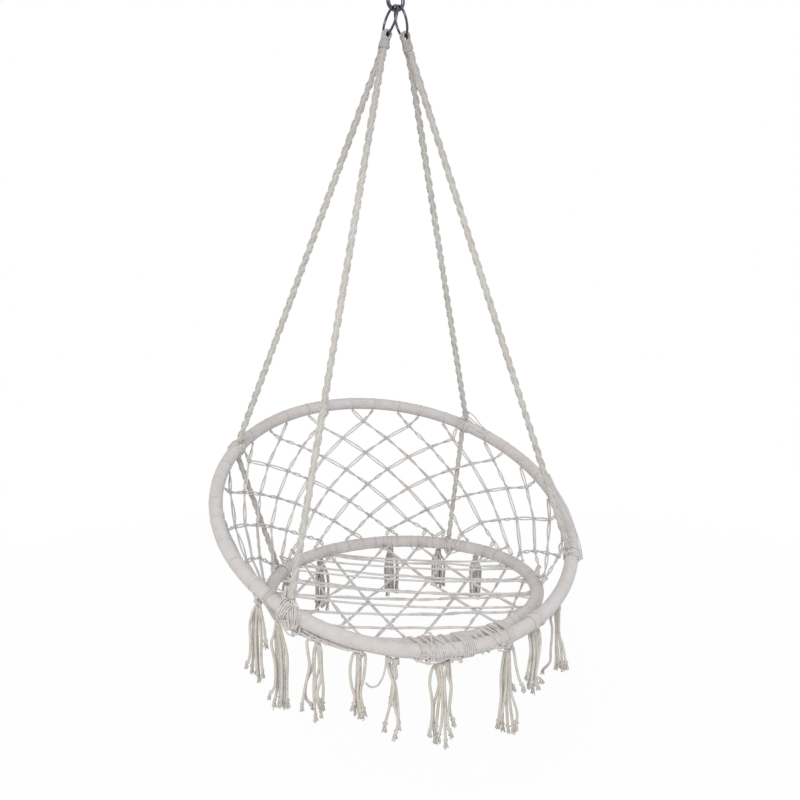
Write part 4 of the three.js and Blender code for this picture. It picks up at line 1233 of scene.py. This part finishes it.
SEAT_CORD, SEAT_PART = 3.6 * MM, (0, 0.5)
SEAT_LEG, SEAT_LEG_DEGREES, SEAT_LEG_CORD, SEAT_STEP = 30 * MM, 4.2, 3.6 * MM * 0.8, 12 * MM
SEAT_SAG, SEAT_DROP = 13 * MM, math.radians(28)
STATION_STEP, STATION_OFFSET, STATIONS = 18, 3, 10
STATION_ANGLES = [s * (STATION_OFFSET + i * STATION_STEP) for i in range(STATIONS) for s in (1, -1)]
RUN_OFFSETS, RUN_SPACING = (-1.5, -0.5, 0.5, 1.5), 116 * MM
SLANT_SPACING, SLANT_SHIFT = 90 * MM, 9 * MM
RISING, FALLING, FALLING_SHIFT = 0.97, -0.65, -40 * MM
MERGE, SHORTEST = 15 * MM, 175 * MM
FILLING_ROWS, FILLING_CORD, FILLING_RISE = (-0.5, 0.5, 1.4, 2.3, 2.9), 4.6 * MM, 3 * MM
FILLING_STEPS, FILLING_UNEVEN = 8, 2.5
SEAT_NET_RADIUS = SEAT_RADIUS - TIE_REACH * math.cos(SEAT_DROP)


def seat_place(spot):
    share = min(1, spot.length_squared / SEAT_NET_RADIUS**2)
    drop = TIE_REACH * math.sin(SEAT_DROP) + SEAT_SAG * (1 - share)
    return seat_hoop.centre + Vector((spot.x, spot.y, -drop))


def station_spot(degrees):
    turn = math.radians(degrees)
    return Vector((math.sin(turn), -math.cos(turn))) * SEAT_NET_RADIUS


def seat_cords():
    """The seat net's cords, each as the degrees of the two hitches it runs between."""
    routes = [(Vector((offset * RUN_SPACING, 0)), Vector((0, 1))) for offset in RUN_OFFSETS]
    span = math.ceil(2 * SEAT_RADIUS / SLANT_SPACING)
    for i in range(-span, span + 1):
        routes.append((Vector((0, SLANT_SHIFT + i * SLANT_SPACING)), Vector((1, RISING)).normalized()))
        routes.append((Vector((0, FALLING_SHIFT + i * SLANT_SPACING)), Vector((1, FALLING)).normalized()))
    ends = []
    for origin, way in routes:
        middle = origin - way * origin.dot(way)
        reach = SEAT_NET_RADIUS**2 - middle.length_squared
        if reach <= 0:
            continue
        spots = [middle - way * math.sqrt(reach), middle + way * math.sqrt(reach)]
        pair = tuple(min(STATION_ANGLES, key=lambda a, s=s: (station_spot(a) - s).length) for s in spots)
        if (station_spot(pair[0]) - station_spot(pair[1])).length >= SHORTEST and pair not in ends:
            ends.append(pair)
    return ends


def seat_net():
    """The seat net's knots and strands, and the degrees of its hitches."""
    ends = seat_cords()
    spots, hitches = [], []

    def spot_at(spot, degrees=None):
        for index, known in enumerate(spots):
            if (known - spot).length < MERGE:
                return index
        spots.append(spot)
        if degrees is not None:
            hitches.append(degrees)
        return len(spots) - 1

    for angle in [a for pair in ends for a in pair]:
        spot_at(station_spot(angle), angle)
    strands = set()
    for start, finish in ends:
        a, b = station_spot(start), station_spot(finish)
        stops = {spot_at(a), spot_at(b)}
        for other in ends:
            meet = intersect_line_line_2d(a, b, *map(station_spot, other))
            if meet:
                stops.add(spot_at(meet))
        ordered = sorted(stops, key=lambda index: (spots[index] - a).dot(b - a))
        strands |= {tuple(sorted(pair)) for pair in zip(ordered, ordered[1:])}
    return spots, sorted(strands), hitches


def add_seat_net():
    spots, strands, hitches = seat_net()
    cords = []
    for a, b in strands:
        cords += net_pair(seat_place(spots[a]), seat_place(spots[b]), Z, SEAT_CORD, SEAT_PART)
    feet = []
    for index, degrees in enumerate(hitches):
        others = [spots[b if a == index else a] for a, b in strands if index in (a, b)]
        if not others:
            continue
        spot = spots[index]
        carrier = max(((other - spot).normalized() for other in others), key=lambda way: -way.dot(spot))
        apex = seat_place(spot + carrier * SEAT_LEG)
        cords.append(knot(apex, *SEAT_KNOT))
        for side in (-1, 1):
            feet.append(degrees + side * SEAT_LEG_DEGREES)
            leg = evenly([apex, seat_place(station_spot(feet[-1]))], SEAT_STEP)
            cords.append(Cord(leg, SEAT_LEG_CORD))
    cords += [knot(seat_place(spot), *SEAT_KNOT) for spot in spots[len(hitches):]]
    riding(corded("knotted_seat_net", cords, NET_LOOK, 6), "seat", "seat_net")
    ties = [hitch(seat_hoop, degrees) for degrees in hitches + feet]
    riding(corded("seat_net_hitches", ties, HITCH_LOOK, 6), "seat")


def seat_filling(row):
    """A cord across the seat between two of the net's own rows, laid over its knots."""
    way = Vector((1, FALLING)).normalized()
    origin = Vector((0, FALLING_SHIFT + row * SLANT_SPACING))
    middle = origin - way * origin.dot(way)
    reach = math.sqrt(SEAT_NET_RADIUS**2 - middle.length_squared)
    points = []
    for t in shares(FILLING_STEPS):
        aside = way.yx * chance.uniform(-FILLING_UNEVEN, FILLING_UNEVEN) * MM
        spot = middle + way * reach * (2 * t - 1) + aside
        points.append(seat_place(spot) + Z * FILLING_RISE)
    return Cord(eased(points, SEAT_STEP), FILLING_CORD)


def add_seat_filling():
    cords = [seat_filling(row) for row in FILLING_ROWS]
    riding(corded("seat_net_filling", cords, NET_LOOK, 6), "seat")


add_back_net()
add_seat_net()
add_seat_filling()

# Tassels under the large hoop: each one's degrees, and its cords' routes down the photo in pixels
TASSEL_CORD = 5.5 * MM
FRONT_TASSELS = {
    1: (-65.6, [
        [(253, 611), (250, 625), (250.5, 642), (249.7, 657), (246.7, 663.5)],
        [(254.3, 613), (253.3, 630), (253.6, 651), (252, 668)],
        [(256.6, 613), (257.4, 636), (257.9, 659), (258.9, 677)],
        [(259, 613), (261.2, 636), (261.2, 659), (262.8, 672.7)],
        [(260.5, 610), (263.5, 625), (265.8, 643)],
        [(257, 611), (255.5, 632), (256, 655), (257, 670)],
    ]),
    2: (-58.2, [
        [(273.5, 636), (271.2, 643.6), (275, 663.5), (275, 685), (269.6, 694)],
        [(275.8, 634.4), (276.5, 654), (278, 682), (274.2, 702.5)],
        [(278, 634.4), (278.8, 654), (280.4, 682), (279.6, 700)],
        [(280.4, 634.4), (283.4, 651), (284.2, 676), (284.2, 703)],
        [(282, 634.4), (287.2, 656), (287, 682), (287.2, 702.5)],
        [(279, 635), (281, 655), (282, 680), (281, 701)],
    ]),
    3: (-45, [
        [(307.1, 640.5), (308, 654), (309.4, 666.5), (305.6, 685), (301.8, 706)],
        [(314, 651), (312.5, 666.5), (306.4, 682), (305.6, 697), (311.7, 705)],
        [(314.8, 651), (314, 676), (314, 697), (315.6, 717)],
        [(318, 651), (319.4, 666.5), (315.6, 682), (316.3, 697), (321, 712.5)],
        [(321, 649.7), (321.7, 669.6), (323.2, 688), (322.5, 705)],
        [(320.2, 651), (321, 676), (317.1, 694), (321, 703)],
    ]),
    4: (-33, [
        [(353.1, 654.3), (350, 669.6), (351.5, 685), (354.6, 697), (353, 706)],
        [(357.7, 655.8), (357, 676), (356, 694), (354.8, 709.4)],
        [(360, 655.8), (360, 676), (357.7, 694), (359.2, 712.5)],
        [(365.3, 655.8), (363.8, 676), (360.7, 689.5), (360.7, 697), (363.8, 711)],
        [(359, 656), (358.4, 680), (357.6, 698), (361.5, 713)],
    ]),
    5: (-23, [
        [(386.7, 659), (389.8, 672.7), (393.6, 688), (389.8, 706), (384.4, 726)],
        [(394.4, 659), (396.7, 675.7), (393, 682), (391.3, 694), (390.6, 700)],
        [(389, 659), (393, 675.7), (396.7, 694), (399, 724.7)],
        [(393.6, 662), (394.4, 675.7), (394.4, 703), (398.2, 721.6), (395.2, 734)],
    ]),
    6: (-9, [
        [(433.6, 666.5), (429.7, 682), (432, 700), (432, 717), (429.7, 732)],
        [(436, 666.5), (439, 685), (433.6, 706), (433.6, 725), (435, 738.5)],
        [(438.2, 666.5), (440.5, 685), (438.2, 706), (436, 728)],
        [(442, 666.5), (442, 685), (442.8, 706), (441.2, 725), (438.2, 737)],
        [(446.6, 666.5), (444.3, 682), (445.8, 706), (445, 728), (445.8, 743)],
        [(448.1, 666.5), (448.1, 675.7), (451.2, 688), (449.6, 706), (447.3, 721.6), (450.4, 732)],
        [(449.6, 666.5), (450.4, 679), (451.2, 688), (449.6, 709), (453.5, 721.6)],
    ]),
    7: (11.2, [
        [(504.8, 651), (501, 675.7), (501, 697), (498, 723)],
        [(505.5, 651), (503.2, 675.7), (502.5, 697), (502.5, 726)],
        [(506.3, 651), (504.8, 675.7), (506.3, 700), (507.8, 727.8)],
        [(507.8, 651), (507.8, 675.7), (509.3, 697), (513.2, 727.8)],
        [(508.6, 651), (510, 679), (511.6, 694), (517, 712.5), (516.2, 724.7)],
        [(507, 651), (506.2, 678), (504.4, 699), (500, 721)],
        [(509.3, 652), (510, 672.7), (511, 683.4), (514, 687)],
        [(511, 645), (513.2, 648), (514.7, 656), (516.2, 666.5), (519.3, 679), (523.1, 686.4)],
    ]),
    8: (21.6, [
        [(528.5, 628.3), (530, 640.5), (530.8, 651), (529.2, 663.5), (527, 675.7)],
        [(530.8, 628.3), (533, 643.6), (533, 655.8), (531.5, 669.6), (529.2, 682)],
        [(533.8, 628.3), (535.4, 643.6), (535.4, 659), (533.8, 674), (533, 688)],
        [(536.1, 629.8), (537.4, 645), (537, 660.4), (535.4, 675.7), (537.7, 685)],
        [(538.4, 628.3), (540.3, 640.5), (539, 654), (537, 666.5), (536, 675.7), (540.7, 679)],
        [(532, 628.3), (534, 644), (534.2, 658), (532.6, 672), (531, 684)],
    ]),
    9: (35.4, [
        [(550.7, 617.6), (552.2, 630), (550.7, 651), (550, 662), (543, 669.6)],
        [(555.3, 611.4), (556, 628.3), (556, 643.6), (556, 665)],
        [(556.8, 611.4), (558.3, 628.3), (556.8, 640.5), (559, 663.5)],
        [(558.3, 611.4), (559, 633), (560.6, 646.6), (562.2, 665)],
        [(559.1, 611.4), (559.1, 633), (563, 646.6), (566, 664)],
    ]),
}
# Tassels under the back of the seat hoop: degrees, length, cords and spread
BACK_TASSELS = {
    1: (-137.3, 112, 8, 9),
    2: (-160.6, 128, 10, 12),
    3: (161.5, 119, 10, 12),
    4: (137.3, 98, 8, 10),
    5: (117, 108, 8, 9),
}
TASSEL_TOP = 4.5 * MM
# A tassel's head: its turns and their steps, its drop, its height, its own radius and more for each cord
HEAD_TURNS, HEAD_STEPS, HEAD_DROP, HEAD_HEIGHT, HEAD_RADIUS, HEAD_GROWTH = 3, 30, 4, 9, 3.2, 0.35
HEAD_KNOT_DROP, LOW_KNOT_DROP = 5 * MM, 9 * MM
# A frayed end: its size in millimetres, its fibres, and how far these spread and hang as shares of the size
FRAY_SIZE, FRAY_FIBRES, FRAY_CORD = (12, 15), 9, 2 * MM
FRAY_SPREAD, FRAY_HANG, FRAY_START = (0.1, 0.42), (0.4, 0.75), 0.2
FRAY_KNOT_BACK, FRAY_KNOT, FRAY_KNOT_CORD = 0.3, 0.8, TASSEL_CORD * 0.7
# The cords of a front tassel stand in front of and behind each other, in steps that wrap round
DEPTH_STEP, DEPTH_SPAN, DEPTH_FIRST, DEPTH_UNIT = 2.4, 3, 1.2, 4 * MM
# The share of that step a cord has at its top, and what it gains from point to point
DEPTH_AT_TOP, DEPTH_GAIN = 0.4, 0.3
# A front cord starts this far under the hoop, and this share of the way aside to its first point
FRONT_DROP, FRONT_ASIDE = 6 * MM, 0.3
# A back tassel's cords: the share of the spread they reach at a share of the length
BACK_BELLY = ((0.15, 0.6), (0.3, 0.95), (0.6, 1.1), (1, 0.9))
BACK_SWAY, BACK_OUTER, BACK_INNER = 2, 1.45, 0.75
# Its cords start below the hoop, a little apart. They leave room for the frayed ends, and some are shorter
BACK_DROP, BACK_APART, BACK_FRAY, BACK_SHORTER = 8 * MM, 2 * MM, 9, 0.06


def frayed(line, size):
    """A knot near a cord's end and the loose fibres below it."""
    tip = line[-1]
    way = (tip - line[-2]).normalized()
    cords = [knot(tip - way * size * FRAY_KNOT_BACK, size * FRAY_KNOT, FRAY_KNOT_CORD)]
    for turn in rounds(FRAY_FIBRES):
        out = level_way(turn) * size * chance.uniform(*FRAY_SPREAD)
        end = tip + out - Z * size * chance.uniform(*FRAY_HANG) + way * size * FRAY_START
        fibre = evenly([tip - way * size * FRAY_START, tip + out * 0.5, end], CORD_STEP)
        cords.append(Cord(fibre, FRAY_CORD))
    return cords


def tassel_head(top, count):
    """A cord wound round the tops of a tassel's cords, knotted to the hoop above."""
    route = []
    for t in shares(HEAD_STEPS):
        out = level_way(math.tau * HEAD_TURNS * t) * (HEAD_RADIUS + HEAD_GROWTH * count) * MM
        route.append(top + out - Z * (HEAD_DROP + HEAD_HEIGHT * t) * MM)
    high, low = top - Z * HEAD_KNOT_DROP, top - Z * LOW_KNOT_DROP
    return [Cord(route, WRAP_CORD), knot(high, *HEAD_KNOT), knot(low, *LOW_KNOT)]


def front_lines(top, routes):
    for i, route in enumerate(routes):
        depth = (i * DEPTH_STEP % DEPTH_SPAN - DEPTH_FIRST) * DEPTH_UNIT
        points = [top - Z * FRONT_DROP + (at_pixel(*route[0], top) - top) * FRONT_ASIDE]
        for step, (x, y) in enumerate(route):
            points.append(at_pixel(x, y, top, depth * min(1, DEPTH_AT_TOP + DEPTH_GAIN * step)))
        yield eased(points, CORD_STEP)


def back_lines(top, length, count, spread):
    for i in range(count):
        out = level_way(math.tau * i / count)
        drop = (length - BACK_FRAY) * MM * (1 - BACK_SHORTER * (i % 3))
        points = [top - Z * BACK_DROP + out * BACK_APART]
        for t, share in BACK_BELLY:
            sway = Vector([chance.uniform(-BACK_SWAY, BACK_SWAY) for _ in "xy"] + [0]) * MM
            apart = spread * MM * share * (BACK_INNER if i % 3 else BACK_OUTER)
            points.append(top - Z * (BACK_DROP + (drop - BACK_DROP) * t) + out * apart + sway)
        yield eased(points, CORD_STEP)


def add_tassel(name, body, look, top, count, lines):
    """A tassel's head and its cords, each with a frayed end."""
    cords = tassel_head(top, count)
    for line in lines:
        cords += [Cord(line, TASSEL_CORD), *frayed(line, chance.uniform(*FRAY_SIZE) * MM)]
    riding(corded("tassel_cords_" + name, cords, look), body, "tassel_" + name)


for number, (degrees, routes) in FRONT_TASSELS.items():
    top = under_hoop(large_hoop, degrees, TASSEL_TOP)
    add_tassel(f"front_{number}", "chair", TASSEL_LOOK, top, len(routes), front_lines(top, routes))
for number, (degrees, length, count, spread) in BACK_TASSELS.items():
    top = under_hoop(seat_hoop, degrees, TASSEL_TOP)
    lines = back_lines(top, length, count, spread)
    add_tassel(f"back_{number}", "seat", SHADED_LOOK, top, count, lines)

# Floor, lamps and the pale surroundings
FLOOR_HEIGHT, FLOOR_SIZE = -1.8, 24
FLOOR_FADE, FLOOR_PALE = (1.9, 3.2), 0.93
WHITE, PALE = (1, 1, 1, 1), (0.9, 0.9, 0.9, 1)
SKY_LIGHT = 0.62
LAMP_AIM = Vector((0, 0, -1.0))
# Each lamp: its place, size, power and colour
LAMPS = {
    "key": ((-2.2, -2.6, 1.4), 2.2, 95, (1, 0.985, 0.96)),
    "fill": ((2.8, -1.6, 0.4), 2.4, 30, (0.85, 0.92, 1)),
}


def in_sight(tree):
    """1 for what the camera sees, also in a reflection or through glass, and 0 for light on other things."""
    paths = tree.nodes.new("ShaderNodeLightPath").outputs
    seen = value_node(tree, "MAXIMUM", paths["Is Camera Ray"], paths["Is Glossy Ray"])
    return value_node(tree, "MAXIMUM", seen, paths["Is Transmission Ray"])


def pale_shader(tree, share):
    """A pale surface that the camera sees as white, save for a share that keeps a soft shadow."""
    white = filled(tree.nodes.new("ShaderNodeEmission"), {"Color": WHITE})
    matt = filled(tree.nodes.new("ShaderNodeBsdfDiffuse"), {"Color": PALE})
    mix = tree.nodes.new("ShaderNodeMixShader")
    parts = (value_node(tree, "MULTIPLY", in_sight(tree), share), matt.outputs[0], white.outputs[0])
    for part, socket in zip(parts, mix.inputs):
        tree.links.new(part, socket)
    return mix.outputs[0]


def add_floor():
    shape = bmesh.new()
    bmesh.ops.create_grid(shape, x_segments=1, y_segments=1, size=FLOOR_SIZE / 2)
    bmesh.ops.translate(shape, vec=(0, 0, FLOOR_HEIGHT), verts=shape.verts)
    mesh = finished("floor", shape)
    floor = add_object("floor", mesh)
    material = bpy.data.materials.new("floor_pale")
    material.use_nodes = True
    tree = material.node_tree
    tree.nodes.clear()
    out = tree.nodes.new("ShaderNodeOutputMaterial")
    away = tree.nodes.new("ShaderNodeVectorMath")
    away.operation = "LENGTH"
    tree.links.new(tree.nodes.new("ShaderNodeTexCoord").outputs["Object"], away.inputs[0])
    fade = ramp_node(tree, away.outputs["Value"], *FLOOR_FADE)
    filled(fade.node, {"To Min": FLOOR_PALE})
    tree.links.new(pale_shader(tree, fade), out.inputs["Surface"])
    mesh.materials.append(material)


def light_world():
    world = bpy.data.worlds.new("studio")
    bpy.context.scene.world = world
    world.use_nodes = True
    tree = world.node_tree
    back = filled(tree.nodes["Background"], {"Color": WHITE})
    strength = ramp_node(tree, in_sight(tree), 0, 1)
    filled(strength.node, {"To Min": SKY_LIGHT, "To Max": 1})
    tree.links.new(strength, back.inputs["Strength"])


def add_lamp(name, place, size, power, colour):
    data = bpy.data.lights.new(name, "AREA")
    data.shape, data.size, data.energy, data.color = "DISK", size, power, colour
    lamp = add_object(name, data)
    lamp.rotation_euler = (LAMP_AIM - Vector(place)).to_track_quat("-Z", "Y").to_euler()
    lamp.location = place


add_floor()
light_world()
for lamp_name, values in LAMPS.items():
    add_lamp(lamp_name, *values)

bpy.context.scene.view_settings.view_transform = "Standard"
